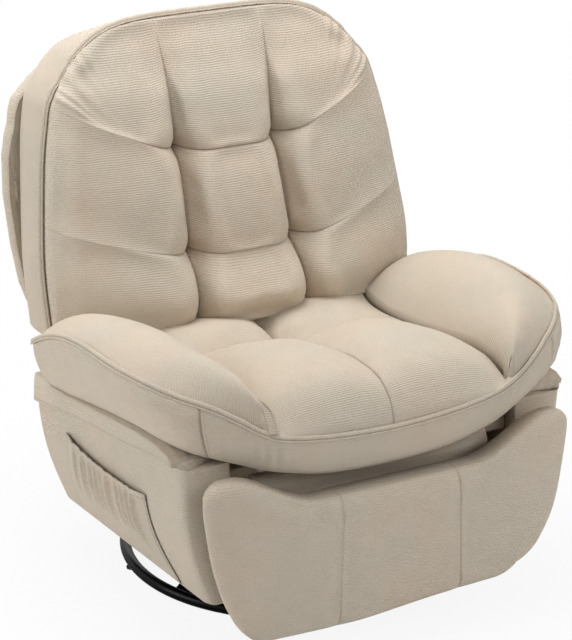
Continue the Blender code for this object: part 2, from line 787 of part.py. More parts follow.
def build_seat_cushion():
    columns = stops(-1.0, 0.0, 1.0, cuts=(0.1, 0.28, 0.5, 0.72, 0.9))
    rows = [seat_front + step for step in lip_rows] + [lip_start - seat_gap]
    rows += stops(lip_start + seat_gap, seat_tuft_y, cuts=(0.12, 0.36, 0.60, 0.82, 0.94))
    rows += stops(seat_tuft_y, seat_rear, cuts=(0.25, 0.6, 0.88))[1:]

    def top(u, y):
        edge = along(pad_valley, y, 1) - seat_edge_drop
        middle = along(seat_top_line, y, 1)
        z = middle + (edge - middle) * abs(u) ** 3
        if y < seat_tuft_y:
            share = max(seat_front_full, (y - seat_front) / (seat_tuft_y - seat_front))
        else:
            share = (y - seat_tuft_y) / (seat_rear - seat_tuft_y)
        z += seat_bulge * (cell_height(abs(u), share) - 0.5)
        front = min(1.0, (y - seat_front) / seat_front_roll)
        lip = band_top_z(u * seat_half_width) + lip_rise
        z = lip + (z - lip) * math.sqrt(max(0.0, front))
        rear = min(1.0, (seat_rear - y) / seat_rear_roll)
        z = seat_rear_z + (z - seat_rear_z) * math.sqrt(max(0.0, rear))
        return Vector((u * seat_half_width, y, z))

    def bottom(u, y):
        inset = seat_foot_inset * abs(u) ** 4
        z = cushion_bottom
        if y < lip_start:
            z = band_top_z(u * seat_half_width) + lip_clear
        return Vector((u * (seat_half_width - inset), y, z))

    add_piece(soft_solid("seat_cushion", columns, rows, top, bottom), "seat_unit", fabric, True)


def band_station(line, place):
    """A point of a band line; whole numbers are its own points."""
    table = np.array(line)
    index = np.arange(len(table))
    return Vector([float(np.interp(place, index, table[:, k])) for k in range(3)])


def band_inward(line, place):
    """Unit vector from the band towards the inside of the chair, level."""
    ahead = band_station(line, place + 0.2) - band_station(line, place - 0.2)
    return Vector((-ahead.y, ahead.x, 0.0)).normalized()


def band_surface(place, drop, depth):
    """A point of the band: drop 0 at its top edge and 1 at its lower edge, depth inwards."""
    top = band_station(band_top_line, place)
    low = band_station(band_low_line, place)
    inward = band_inward(band_top_line, place)
    proud = along(band_bulge, place, 1) * math.sin(math.pi * drop)
    return top.lerp(low, drop) + inward * (depth - (proud if depth == 0.0 else 0.0))


def side_stations():
    """Places along the band's side lengths, from just past the front length to the rear."""
    start = band_split + 0.02
    last = len(band_top_line) - 1
    return [start + (last - start) * k / 16.0 for k in range(17)]


def build_band():
    front = [float(k) * 0.5 for k in range(-2 * band_split, 2 * band_split + 1)]
    drops = (0.0, 0.15, 0.5, 0.85, 1.0)

    def front_outer(place, drop):
        point = band_surface(abs(place), drop, 0.0)
        return Vector((math.copysign(point.x, place), point.y, point.z))

    def front_inner(place, drop):
        point = band_surface(abs(place), drop, band_wall)
        return Vector((math.copysign(point.x, place), lip_start - seat_gap * 2.0, point.z))

    band = soft_solid("band_front", front, drops, front_outer, front_inner)
    add_piece(band, "seat_unit", fabric, True)
    for side, label in ((-1.0, "left"), (1.0, "right")):
        def outer(place, drop):
            point = band_surface(place, drop, 0.0)
            return Vector((point.x * side, point.y, point.z))

        def inner(place, drop):
            point = band_surface(place, drop, band_wall)
            return Vector((point.x * side, point.y, point.z))

        band = soft_solid("band_" + label, side_stations(), drops, outer, inner)
        add_piece(band, "seat_unit", fabric, True)


def build_arm_pads():
    """Overstuffed pads, from the seat's side over a crest to the band, on the arm boards."""
    shares = (0.0, 0.06, 0.18, 0.32, 0.46, 0.60, 0.74, 0.87, 1.0)
    places = [place for place in side_stations() if place > pad_start]
    clear = band_wall + band_clear
    base = arm_board_top + seat_gap
    low = base + 0.004
    for side, label in ((-1.0, "left"), (1.0, "right")):
        def run_of(place):
            return (place - places[0]) / (places[-1] - places[0])

        def ends(place):
            inner_y = pad_front + (pad_rear_inner - pad_front) * run_of(place)
            return Vector((pad_inner_x, inner_y, along(pad_valley, inner_y, 1)))

        def edge(place, z):
            top_z = band_station(band_top_line, place).z
            low_z = band_station(band_low_line, place).z
            return band_surface(place, (top_z - z) / (top_z - low_z), clear)

        def lowered(place, z):
            rear = min(1.0, (1.0 - run_of(place)) / 0.10)
            return z - (z - low) * pad_rear_drop * (1.0 - math.sqrt(rear))

        def bowed(share, place):
            return pad_rear_bow * share ** 1.5 * (1.0 - share ** 6) * run_of(place) ** 4

        def top(share, place):
            start = ends(place)
            brim = band_station(band_top_line, place).z
            end = edge(place, lowered(place, brim))
            spot = start.lerp(end, share)
            crest_x = along(pad_crest, spot.y, 1)
            crest_z = along(pad_crest, spot.y, 2)
            peak = min(0.8, max(0.3, (crest_x - pad_inner_x) / (end.x - pad_inner_x)))
            if share < peak:
                level, rise = start.z, math.sin(0.5 * math.pi * share / peak)
            else:
                level, rise = brim, math.cos(0.5 * math.pi * (share - peak) / (1.0 - peak))
            z = level + (max(crest_z, level) - level) * max(0.0, rise) ** 0.8
            return Vector((spot.x * side, spot.y + bowed(share, place), lowered(place, z)))

        def bottom(share, place):
            start = ends(place)
            end = edge(place, base)
            start.y += end.y - edge(place, band_station(band_top_line, place).z).y
            spot = start.lerp(end, share)
            return Vector((spot.x * side, spot.y + bowed(share, place), base))

        pad = soft_solid("arm_pad_" + label, shares, places, top, bottom)
        add_piece(pad, "seat_unit", fabric, True)


def panel_outer_x(y, z):
    """Outer face of a side panel below its proud strip."""
    run = min(1.0, max(0.0, (y - panel_front) / (panel_rear_top - panel_front)))
    low = panel_low_front_x + (panel_low_rear_x - panel_low_front_x) * run
    high = panel_top_front_x + (panel_top_rear_x - panel_top_front_x) * run
    top = panel_top_z(y)
    rise = min(1.0, max(0.0, (z - panel_bottom) / (top - panel_bottom)))
    return low + (high - low) * rise + panel_bulge * math.sin(math.pi * rise)


def panel_top_z(y):
    """Height of the band's underside above a place, at its outer and its inner edge."""
    table = np.array(band_low_line)[band_split + 1:]
    edges = (y, y - band_wall)
    return min(float(np.interp(place, table[:, 1], table[:, 2])) for place in edges) - band_clear


def build_side_panels():
    """Soft outer sides with a proud strip along the top, wrapped round the arm boards' fronts."""
    inner = arm_board_x + arm_board_wall + seat_gap
    wrap = arm_board_front - seat_gap * 2.0
    fronts = (panel_front, panel_front + 0.006, wrap - seat_gap, wrap)
    last = len(fronts) - 1
    stations = list(range(last + 1)) + [last + s for s in (0.12, 0.3, 0.48, 0.66, 0.84, 0.97, 1.0)]
    strip = 1.0 - strip_height / (arm_board_top - panel_bottom)
    rises = (0.0, 0.03, 0.2, 0.4, 0.6, 0.78, strip - 0.006, strip, 0.96, 1.0)
    for side, label in ((-1.0, "left"), (1.0, "right")):
        def spot(station, rise):
            if station <= last:
                y = fronts[station]
            else:
                rear = panel_rear_bottom + (panel_rear_top - panel_rear_bottom) * rise
                y = wrap + (rear - wrap) * (station - last)
            return y, panel_bottom + (panel_top_z(y) - panel_bottom) * rise

        def outer(station, rise):
            y, z = spot(station, rise)
            x = panel_outer_x(y, z)
            if rise >= strip:
                x += strip_proud
            edge = min(1.0, (y - panel_front) / panel_corner)
            x -= panel_corner * 0.7 * (1.0 - math.sqrt(edge))
            return Vector((x * side, y, z))

        def inside(station, rise):
            y, z = spot(station, rise)
            x = panel_wrap_x if station < last else inner
            return Vector((x * side, y, z))

        panel = soft_solid("side_panel_" + label, stations, rises, outer, inside)
        add_piece(panel, "seat_unit", fabric, True)


def build_pocket():
    """A patch pocket on the left panel: sewn at three sides, open at its gathered top."""
    shares = (0.0, 0.05, 0.15, 0.3, 0.5, 0.7, 0.85, 0.95, 1.0)
    rises = (0.0, 0.08, 0.25, 0.5, 0.75, 1.0)

    def place(share, rise, out):
        front = pocket_front_bottom + (pocket_front_top - pocket_front_bottom) * rise
        y = front + (pocket_rear - front) * share
        z = pocket_bottom + (pocket_top - pocket_bottom) * rise
        bag = min(1.0, 3.2 * math.sin(math.pi * share)) * min(1.0, 2.6 * rise)
        x = panel_outer_x(y, z) + seat_gap * 2.0 + pocket_room * bag + out
        return Vector((-x, y, z))

    pocket = soft_solid("side_pocket", shares, rises, lambda s, r: place(s, r, pocket_wall),
                        lambda s, r: place(s, r, 0.0))
    add_piece(pocket, "seat_unit", fabric, True)


def build_apron():
    columns = (-1.0, -0.96, -0.5, 0.0, 0.5, 0.96, 1.0)
    rises = (0.0, 0.06, 0.3, 0.6, 0.94, 1.0)
    top = min(point[2] for point in band_low_line) - 0.0015

    def face(u, rise):
        y = front_rail_y - seat_gap - apron_wall * (0.45 + 0.55 * math.sin(math.pi * rise) ** 0.5)
        return Vector((u * apron_half_width, y, apron_bottom + (top - apron_bottom) * rise))

    def inside(u, rise):
        z = apron_bottom + (top - apron_bottom) * rise
        return Vector((u * apron_half_width, front_rail_y - seat_gap, z))

    add_piece(soft_solid("front_apron", columns, rises, face, inside), "seat_unit", fabric, True)


def build_footrest():
    back = board_back()
    low = (-board_half_width, back - board_wall, board_low)
    high = (board_half_width, back, board_high)
    add_piece(block("footrest_board", low, high), "footrest", wood)
    columns = stops(-2.0, -1.0, 1.0, 2.0)
    rises = (0.0, 0.05, 0.16, 0.32, 0.5, 0.68, 0.84, 0.95, 1.0)

    def spot(u, rise):
        seam = foot_seam_bottom + (foot_seam_top - foot_seam_bottom) * rise
        share = abs(u) - 1.0
        level = foot_low + (foot_top_side - foot_low) * rise
        edge = along(foot_edge, level, 1)
        x = seam * u if abs(u) <= 1.0 else math.copysign(seam + (edge - seam) * share, u)
        reach = min(1.0, max(0.0, (abs(x) - 0.16) / 0.17))
        high = foot_top_middle + (foot_top_side - foot_top_middle) * reach * reach * (3 - 2 * reach)
        low_side = foot_low + 0.018 * (abs(x) / 0.28) ** 4
        return x, low_side + (high - low_side) * rise

    def face(u, rise):
        x, z = spot(u, rise)
        across = min(1.0, abs(x) / 0.37)
        y = back - foot_wall_middle + (foot_wall_middle - foot_wall_edge) * across ** 3
        share = (u + 1.0) / 2.0 if abs(u) <= 1.0 else abs(u) - 1.0
        roll = min(1.0, 6.0 * min(rise, 1.0 - rise) + 0.02)
        y -= foot_bulge * swell(share) * roll
        y += 0.026 * (1.0 - math.sqrt(min(1.0, 9.0 * min(rise, 1.0 - rise) + 0.02)))
        return Vector((x, y, z))

    def inside(u, rise):
        x, z = spot(u, rise)
        return Vector((x, back - board_wall - seat_gap, z))

    pad = soft_solid("footrest_cushion", columns, rises, face, inside)
    add_piece(pad, "footrest", fabric, True)


def back_plane(z):
    """y of the leaning plane through the piping of the back."""
    return back_base_y + math.tan(back_lean) * (z - back_base_z)


def back_outline(u, w):
    """x and z on the back: |u| 0 to 1 to the seam, 1 to 2 to the edge; w 0, 1, 2, 3 at the rows."""
    seam = float(np.interp(w, (0, 1, 2, 3), (seam_bottom_x, tuft_low[0], tuft_high[0], seam_top_x)))
    corner_z = back_corner[1]
    edge_z = float(np.interp(w, (0, 1, 2, 3),
                             (back_bottom, seam_low_edge_z, seam_high_edge_z, corner_z)))
    edge_x = along(back_edge, edge_z, 1)
    share = max(0.0, abs(u) - 1.0)
    x = seam * abs(u) if abs(u) <= 1.0 else seam + (edge_x - seam) * share
    top_x = seam_top_x * min(1.0, abs(u)) + (back_corner[0] - seam_top_x) * share
    fall = (top_x / back_corner[0]) ** back_top_power
    top = back_top_middle - (back_top_middle - corner_z) * fall
    middle = float(np.interp(w, (0, 1, 2), (back_bottom, tuft_low[1], tuft_high[1])))
    high = tuft_high[1] + (seam_high_edge_z - tuft_high[1]) * share ** 1.15
    if w <= 2.0:
        z = middle + (edge_z - middle) * share ** 1.15
    else:
        z = high + (top - high) * (w - 2.0)
    return math.copysign(x, u), z


def build_back_cushion():
    columns = stops(-2.0, -1.0, 1.0, 2.0)
    rows = stops(0.0, 1.0, 2.0, 3.0)

    def face(u, w):
        x, z = back_outline(u, w)
        edge = along(back_edge, min(z, back_corner[1]), 1)
        crown = float(np.interp(w, (0.0, 0.25, 1.0, 2.0, 3.0),
                                (crown_bottom * 0.62, crown_bottom, crown_low, crown_high, 0.004)))
        crown *= 1.0 - min(1.0, abs(x) / edge) ** 2.6
        share_u = (u + 1.0) / 2.0 if abs(u) <= 1.0 else abs(u) - 1.0
        share_w = w - min(2.0, math.floor(w))
        height = cell_height(share_u, share_w) - 0.55
        if abs(u) > 1.96 or w > 2.97 or w < 0.03:
            height = 0.0
        return Vector((x, back_plane(z) - crown - back_bulge * height, z))

    def rear(u, w):
        x, z = back_outline(u, w)
        return Vector((x, back_plane(z) + cushion_rim, z))

    pad = soft_solid("back_cushion", columns, rows, face, rear)
    add_piece(pad, "backrest", fabric, True)


def build_back_boxing():
    places = [(2.0, w) for w in (0.0, 0.5, 1.0, 1.5, 2.0, 2.5, 3.0)]
    places += [(u, 3.0) for u in (1.82, 1.64, 1.45, 1.2, 0.8, 0.4)]
    half = [back_outline(u, w) for u, w in places]
    outline = half + [(0.0, back_top_middle)] + [(-x, z) for x, z in reversed(half)]
    stations = list(range(len(outline)))
    start = cushion_rim + seat_gap

    def inward(k):
        a = outline[max(0, k - 1)]
        b = outline[min(len(outline) - 1, k + 1)]
        across = Vector((-(b[1] - a[1]), b[0] - a[0]))
        return across.normalized()

    def wall(k, depth, inset):
        x, z = outline[k]
        move = inward(k) * inset
        x, z = x + move.x, z + move.y
        return Vector((x, back_plane(z) + start + (boxing_depth - seat_gap * 2.0) * depth, z))

    band = soft_solid("back_boxing", stations, (0.0, 0.5, 1.0),
                      lambda k, d: wall(k, d, -0.002 * math.sin(math.pi * d)),
                      lambda k, d: wall(k, d, boxing_wall))
    add_piece(band, "backrest", fabric, True)


def lean_block(name, x_low, x_high, z_low, z_high):
    """A length of the back frame, which leans with the back."""
    rail = block(name, (x_low, 0.0, z_low), (x_high, back_timber_depth, z_high))
    for vert in rail.data.vertices:
        vert.co.y += back_plane(vert.co.z) + cushion_rim + seat_gap
    return rail


def build_back_frame():
    bracket_x = arm_board_x - seat_gap - 2.0 * link_wall - layer_gap
    outer = bracket_x - seat_gap
    inner = outer - back_timber
    for side, label in ((-1.0, "left"), (1.0, "right")):
        ends = sorted((side * inner, side * outer))
        rail = lean_block("back_stile_" + label, ends[0], ends[1], back_rail_low, back_rail_high)
        add_piece(rail, "backrest", wood)
    reach = inner - seat_gap
    low = back_bottom + 0.006
    rail = lean_block("back_lower_rail", -reach, reach, low, low + cross_rail_height)
    add_piece(rail, "backrest", wood)
    rail = lean_block("back_upper_rail", -reach, reach, back_rail_high - cross_rail_height,
                      back_rail_high)
    add_piece(rail, "backrest", wood)
    tip = seat_gap + spring_wire * math.tan(back_lean)
    start = low + cross_rail_height + tip
    end = back_rail_high - cross_rail_height - tip
    depth = cushion_rim + 0.006

    def on_back(across, rise):
        return (across, back_plane(rise) + depth, rise)

    add_piece(spring_deck("back_springs", back_spring_xs, start, end, on_back), "backrest",
              steel_zinc)
    build_back_hinges(bracket_x)


def build_back_hinges(bracket_x):
    pivot = (hinge_y, hinge_z)
    hole = rivet_radius + pivot_gap
    plate_inner = arm_board_x - seat_gap - link_wall
    for side, label in ((-1.0, "left"), (1.0, "right")):
        corners = [(rear_rail_y + 0.004, hinge_z - 0.045), (hinge_y + 0.014, hinge_z - 0.045),
                   (hinge_y + 0.016, hinge_z + 0.016), (rear_rail_y + 0.004, hinge_z + 0.030)]
        loops = [rounded(corners, 0.006)]
        rivets = [(pivot, bracket_x)]
        plate = side_plate("hinge_plate_" + label, loops, plate_inner, link_wall, side, rivets)
        add_piece(plate, "seat_unit", steel_zinc)
        middle = cushion_rim + seat_gap + back_timber_depth / 2.0
        bend = (back_plane(bracket_bend_z) + middle, bracket_bend_z)
        top = (back_plane(bracket_top_z) + middle, bracket_top_z)
        outline = bent_bar([pivot, bend, top], bracket_half_width)
        bracket = side_plate("back_bracket_" + label, [outline, circle(pivot, hole)], bracket_x,
                             link_wall, side)
        add_piece(bracket, "backrest", steel_zinc)


def bent_bar(points, half):
    """A flat bar of even width through three points, with a round foot."""
    a, b, c = (Vector(p) for p in points)
    first = (b - a).normalized()
    second = (c - b).normalized()
    side_one = Vector((-first.y, first.x)) * half
    side_two = Vector((-second.y, second.x)) * half
    mitre = (side_one + side_two).normalized() * half / math.cos(first.angle(second) / 2.0)
    start = math.atan2(side_one.y, side_one.x)
    outline = []
    for k in range(7):
        turn = start + math.pi * k / 6.0
        outline.append((a.x + half * math.cos(turn), a.y + half * math.sin(turn)))
    outline += [tuple(b - mitre), tuple(c - side_two), tuple(c + side_two), tuple(b + mitre)]
    return outline


def build_outer_back():
    columns = (-1.0, -0.95, -0.8, -0.55, -0.3, 0.0, 0.3, 0.55, 0.8, 0.95, 1.0)
    rows = (0.0, 0.03, 0.14, 0.249, 0.29, 0.40, 0.55, 0.70, 0.82, 0.91, 0.97, 1.0)

    def spot(u, w):
        level = outer_bottom + (outer_edge[-1][0] - outer_bottom) * w
        x = u * along(outer_edge, level, 1)
        return x, outer_bottom + (along(outer_top, abs(x), 1) - outer_bottom) * w

    def start_y(z):
        return back_plane(z) + cushion_rim + boxing_depth + seat_gap

    def rear(u, w):
        x, z = spot(u, w)
        fall = (1.0 - abs(u) ** 5.0) * (1.0 - abs(2.0 * w - 1.0) ** 5.0)
        edge = outer_edge_depth * math.sqrt(max(0.02, fall)) if fall < 1.0 else outer_edge_depth
        return Vector((x, start_y(z) + max(0.012, edge + outer_bulge * fall), z))

    def front(u, w):
        x, z = spot(u, w)
        return Vector((x, start_y(z), z))

    shell = soft_solid("outer_back", columns, rows, rear, front)
    add_piece(shell, "backrest", fabric, True)


def build_release():
    half = [value / 2.0 for value in (tab_wall, tab_width, tab_length)]
    tab = block("release_tab", [-v for v in half], half, 0.0012)
    tab.rotation_euler = (tab_tilt, 0.0, 0.0)
    tab.location = tab_centre
    add_piece(tab, "release_tab", fabric)
    one = layer_x(1)
    loops = [lever_outline(lever_nose, lever_pivot, lever_arm, 0.008),
             circle(lever_pivot, rivet_radius + pivot_gap)]
    lever = side_plate("trip_lever", loops, one, link_wall, -1.0)
    add_piece(lever, "trip_lever", steel_zinc)
    way = Vector((0.0, math.sin(tab_tilt), -math.cos(tab_tilt)))
    foot = Vector(tab_centre) + way * (tab_length / 2.0 + seat_gap)
    route = [foot, foot + way * 0.012]
    route += [(tab_centre[0] + inwards, y, z) for inwards, y, z in cable_drop]
    route += [(inwards - plate_x, y, z) for inwards, y, z in cable_run]
    add_piece(tube("release_cable", route, cable_radius, 2), "seat_unit", plastic_black)


def add_bodies():
    elbow = on_link(drive_pivot, drive_angle, drive_length)
    knee = on_link(elbow, lift_angle, lift_length)
    stay_pivot = on_link(follow_pivot, follow_angle, stay_pivot_along, stay_pivot_side)
    foot_z = glide_top - link_length
    add_body("floor_base", None, 0.0, 0.0, 0.0)
    add_body("swivel_carriage", "floor_base", 0.0, 0.0, hub_base)
    add_body("front_glide_links", "swivel_carriage", 0.0, -link_reach, glide_top)
    add_body("rear_glide_links", "swivel_carriage", 0.0, link_reach, glide_top)
    add_body("seat_unit", "rear_glide_links", 0.0, link_reach, foot_z)
    add_body("backrest", "seat_unit", 0.0, hinge_y, hinge_z)
    add_body("drive_links", "seat_unit", 0.0, drive_pivot[0], drive_pivot[1])
    add_body("follow_links", "seat_unit", 0.0, follow_pivot[0], follow_pivot[1])
    add_body("lift_links", "drive_links", 0.0, elbow[0], elbow[1])
    add_body("stay_links", "follow_links", 0.0, stay_pivot[0], stay_pivot[1])
    add_body("footrest", "lift_links", 0.0, knee[0], knee[1])
    add_body("release_tab", "seat_unit", *tab_centre)
    add_body("trip_lever", "seat_unit", -layer_x(1), lever_pivot[0], lever_pivot[1])


def main():
    clear_scene()
    bpy.context.scene.collection.children.link(parts)
    add_bodies()
    table_base = build_base()
    link_x = build_carriage(table_base)
    build_side_plates(link_x)
    build_footrest_links()
    build_seat_box()
    build_seat_cushion()
    build_band()
    build_arm_pads()
    build_side_panels()
    build_pocket()
    build_apron()
    build_footrest()
    build_back_frame()
    build_back_cushion()
    build_back_boxing()
    build_outer_back()
    build_release()
    bpy.context.view_layer.update()
    print("pieces", sum(1 for item in parts.objects if item.type != "EMPTY"))


main()
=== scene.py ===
# The looks of the swivel glider recliner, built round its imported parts.
# Lengths are in metres; x runs to the right, y to the rear and z up.
import math

import bpy
import numpy as np
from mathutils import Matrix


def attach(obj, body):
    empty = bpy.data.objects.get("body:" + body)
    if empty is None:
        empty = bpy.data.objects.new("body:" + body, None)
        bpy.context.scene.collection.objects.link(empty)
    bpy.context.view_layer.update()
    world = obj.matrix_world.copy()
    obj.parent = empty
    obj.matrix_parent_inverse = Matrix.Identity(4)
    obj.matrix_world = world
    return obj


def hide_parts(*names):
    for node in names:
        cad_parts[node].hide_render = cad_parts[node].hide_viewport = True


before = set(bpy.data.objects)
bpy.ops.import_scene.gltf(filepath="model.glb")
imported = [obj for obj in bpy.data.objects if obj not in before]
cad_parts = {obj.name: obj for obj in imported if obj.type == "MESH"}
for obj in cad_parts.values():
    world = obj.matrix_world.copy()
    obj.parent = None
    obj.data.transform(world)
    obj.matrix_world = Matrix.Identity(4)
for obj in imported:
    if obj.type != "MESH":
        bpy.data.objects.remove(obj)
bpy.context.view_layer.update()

axisY = -0.021                # the shapes below are measured from the swivel axis, as the parts are
home = bpy.context.scene.collection
print("frame loaded:", len(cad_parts), "nodes")


# shader maths as expressions
class Signal:
    # one output socket; the operators add Math nodes to its material
    def __init__(self, skin, socket):
        self.skin, self.socket = skin, socket

    def maths(self, operation, first, second):
        return self.skin.node("ShaderNodeMath", {"operation": operation}, {0: first, 1: second})

    def __add__(self, other): return self.maths("ADD", self, other)
    def __radd__(self, other): return self.maths("ADD", other, self)
    def __rsub__(self, other): return self.maths("SUBTRACT", other, self)
    def __mul__(self, other): return self.maths("MULTIPLY", self, other)


class Skin:
    # a material and the one way to add a node to it
    def __init__(self, name):
        self.material = bpy.data.materials.new(name)
        self.material.use_nodes = True
        self.tree = self.material.node_tree
        self.shader = self.tree.nodes["Principled BSDF"]

    def node(self, kind, settings, sockets, out=0):
        made = self.tree.nodes.new(kind)
        for key, value in settings.items():
            if key == "stops":
                while len(made.color_ramp.elements) < len(value):
                    made.color_ramp.elements.new(0.5)
                for stop, (place, colour) in zip(made.color_ramp.elements, value):
                    stop.position, stop.color = place, (*colour, 1.0)
            else:
                setattr(made, key, value)
        for key, value in sockets.items():
            if isinstance(value, Signal):
                self.tree.links.new(value.socket, made.inputs[key])
            else:
                made.inputs[key].default_value = value
        return Signal(self, made.outputs[out])

    def feed(self, **sockets):
        # sets or links the shader's own sockets; an underscore stands for a space
        for key, value in sockets.items():
            target = self.shader.inputs[key.replace("_", " ")]
            if isinstance(value, Signal):
                self.tree.links.new(value.socket, target)
            else:
                target.default_value = value

    def place(self, scale=(1.0, 1.0, 1.0), uv=None):
        # where a pattern is read: the piece's own map, or object coordinates
        if uv:
            start = self.node("ShaderNodeUVMap", {"uv_map": uv}, {})
        else:
            start = self.node("ShaderNodeTexCoord", {}, {}, out=3)
        return self.node("ShaderNodeMapping", {}, {0: start, 3: scale})

    def noise(self, vector, scale, detail=2.0, rough=0.5):
        return self.node("ShaderNodeTexNoise", {},
                         {"Vector": vector, "Scale": scale, "Detail": detail, "Roughness": rough})

    def single(self, operation, value):
        return self.node("ShaderNodeMath", {"operation": operation}, {0: value})

    def ramp(self, value, *stops):
        return self.node("ShaderNodeValToRGB", {"stops": stops}, {0: value})

    def mask(self, value, low, high):
        # 0 below the low value, 1 above the high one
        return self.ramp(value, (low, (0.0, 0.0, 0.0)), (high, (1.0, 1.0, 1.0)))

    def mixed(self, share, first, second):
        return self.node("ShaderNodeMix", {"data_type": "RGBA", "blend_type": "MIX"},
                         {0: share, 6: first, 7: second}, out=2)

    def bump(self, height, distance, strength=1.0, under=None):
        sockets = {"Height": height, "Distance": distance, "Strength": strength}
        if under is not None:
            sockets["Normal"] = under
        return self.node("ShaderNodeBump", {}, sockets)


# groove is the colour of the worn patches and also of the painted shade in the rib grooves; seam is the
# painted shade colour along the seams
fabricLook = {
    "light": (0.640, 0.560, 0.460), "warm": (0.655, 0.555, 0.450), "cool": (0.615, 0.555, 0.460),
    "groove": (0.43, 0.355, 0.265), "fleck": (0.36, 0.29, 0.21), "seam": (0.22, 0.165, 0.11),
    "ribPitch": 0.0042, "ribHeight": 0.0007, "stitchLong": 0.0070, "yarn": 900.0,
    "yarnHeight": 0.0005, "patch": 7.0, "sheen": 0.15, "wander": 8.0,
}


def makeFabric(name, look):
    # ribbed chenille: rows of short raised stitches, a tufted yarn in them, and slow worn patches; painted
    # shade darkens the grooves between the rows and along the seams
    skin = Skin(name)
    weave = skin.place(uv="weave")
    solid = skin.place()
    wander = skin.noise(weave, 22.0, 2.0)
    row = skin.node("ShaderNodeSeparateXYZ", {}, {0: weave}, out=1)
    run = skin.node("ShaderNodeSeparateXYZ", {}, {0: weave}, out=0)
    turns = 2.0 * math.pi / look["ribPitch"]
    rib = skin.single("SINE", row * turns + wander * look["wander"]) * 0.5 + 0.5
    # every row's stitches start elsewhere: the phase jumps with the row's number
    drift = wander * (look["wander"] / (2.0 * math.pi))
    number = skin.single("FLOOR", row * (1.0 / look["ribPitch"]) + drift + 0.25)
    phase = skin.single("FRACT", number * 0.618) * (2.0 * math.pi)
    stitch = skin.single("SINE", run * (2.0 * math.pi / look["stitchLong"]) + phase) * 0.5 + 0.5
    yarn = skin.noise(solid, look["yarn"], 2.0, 0.6)
    slub = skin.noise(skin.place((0.35, 1.0, 1.0), uv="weave"), 620.0, 1.0)
    raised = rib * (0.62 + stitch * 0.38)
    patch = skin.noise(solid, look["patch"], 3.0)
    worn = skin.noise(solid, 34.0, 3.0, 0.6)
    tone = skin.ramp(patch, (0.38, look["cool"]), (0.52, look["light"]), (0.66, look["warm"]))
    tone = skin.mixed(skin.mask(worn, 0.42, 0.70) * 0.10, tone, (*look["groove"], 1.0))
    # painted shade: the grooves between the rib rows are darkened towards the groove colour
    tone = skin.mixed((1.0 - raised) * 0.29, tone, (*look["groove"], 1.0))
    flecks = skin.ramp(slub * 0.6 + yarn * 0.4, (0.38, (1.0, 1.0, 1.0)), (0.52, (0.0, 0.0, 0.0)))
    tone = skin.mixed(flecks * 0.26, tone, (*look["fleck"], 1.0))
    # painted shade along the seams: each point's seam shade darkens the cloth towards the seam colour
    sewn = skin.node("ShaderNodeAttribute", {"attribute_name": "sewn"}, {}, out=2)
    tone = skin.mixed(sewn * 0.62, tone, (*look["seam"], 1.0))
    coarse = skin.bump(raised * (0.7 + worn * 0.6), look["ribHeight"], 0.9)
    fine = skin.bump(yarn * 0.6 + slub * 0.7, look["yarnHeight"], 0.6, coarse)
    skin.feed(Base_Color=tone, Roughness=0.86 + yarn * 0.12, Normal=fine,
              Sheen_Weight=look["sheen"], Sheen_Roughness=0.5, Specular_IOR_Level=0.15)
    skin.shader.inputs["Sheen Tint"].default_value = (1.0, 0.93, 0.83, 1.0)
    return skin.material


steelLook = {"paint": (0.0025, 0.0022, 0.0024, 1.0), "dust": (0.018, 0.017, 0.016, 1.0), "dusty": 0.18,
             "rough": 0.16, "peel": 420.0, "peelHeight": 0.0002}


def makeBlackSteel(look):
    # glossy powder coat with a faint orange peel and dust
    skin = Skin("blackPowderCoat")
    spot = skin.place()
    peel = skin.noise(spot, look["peel"], 2.0)
    dust = skin.noise(spot, 30.0, 4.0, 0.65)
    tone = skin.mixed(skin.mask(dust, 0.55, 0.80) * look["dusty"], look["paint"], look["dust"])
    skin.feed(Base_Color=tone, Roughness=look["rough"] + dust * 0.14, Metallic=0.0,
              Normal=skin.bump(peel, look["peelHeight"], 0.2), Specular_IOR_Level=0.10)
    return skin.material


zincLook = {"dark": (0.36, 0.36, 0.35), "bright": (0.50, 0.50, 0.49), "oil": (0.20, 0.18, 0.15, 1.0),
            "oily": 0.45, "rough": 0.30, "scratch": (900.0, 25.0, 25.0), "scratchHeight": 0.0002}


def makeZincSteel(look):
    # drawn steel strip: long fine scratches, cloudy zinc and dull oil marks
    skin = Skin("zincSteel")
    spot = skin.place()
    grain = skin.noise(skin.place(look["scratch"]), 1.0, 3.0)
    cloud = skin.noise(spot, 40.0, 3.0)
    oil = skin.noise(spot, 12.0, 4.0, 0.6)
    tone = skin.ramp(cloud, (0.35, look["dark"]), (0.65, look["bright"]))
    tone = skin.mixed(skin.mask(oil, 0.58, 0.75) * look["oily"], tone, look["oil"])
    skin.feed(Base_Color=tone, Metallic=1.0, Roughness=look["rough"] + cloud * 0.22 + oil * 0.12,
              Normal=skin.bump(grain, look["scratchHeight"], 0.2))
    return skin.material


timberLook = {"early": (0.60, 0.42, 0.24), "middle": (0.46, 0.30, 0.16), "late": (0.34, 0.20, 0.10),
              "pore": (0.30, 0.18, 0.09, 1.0), "porous": 0.35, "rough": 0.62, "grainHeight": 0.0004}


def makeTimber(look):
    # sawn pine and plywood: growth rings stretched along the board, with pores
    skin = Skin("sawnTimber")
    spot = skin.place()
    drift = skin.noise(spot, 6.0, 3.0)
    rings = skin.node("ShaderNodeTexWave", {"wave_type": "RINGS", "rings_direction": "X"},
                      {"Vector": skin.place((0.6, 9.0, 9.0)), "Scale": 5.0, "Distortion": 5.0,
                       "Detail": 3.0, "Detail Scale": 1.5})
    pores = skin.noise(skin.place((40.0, 900.0, 900.0)), 1.0, 2.0)
    tone = skin.ramp(rings * 0.6 + drift * 0.4, (0.25, look["early"]), (0.6, look["middle"]),
                     (0.85, look["late"]))
    tone = skin.mixed(pores * look["porous"], tone, look["pore"])
    skin.feed(Base_Color=tone, Roughness=look["rough"] + pores * 0.25,
              Normal=skin.bump(pores * 0.6 + rings * 0.4, look["grainHeight"], 0.4))
    return skin.material


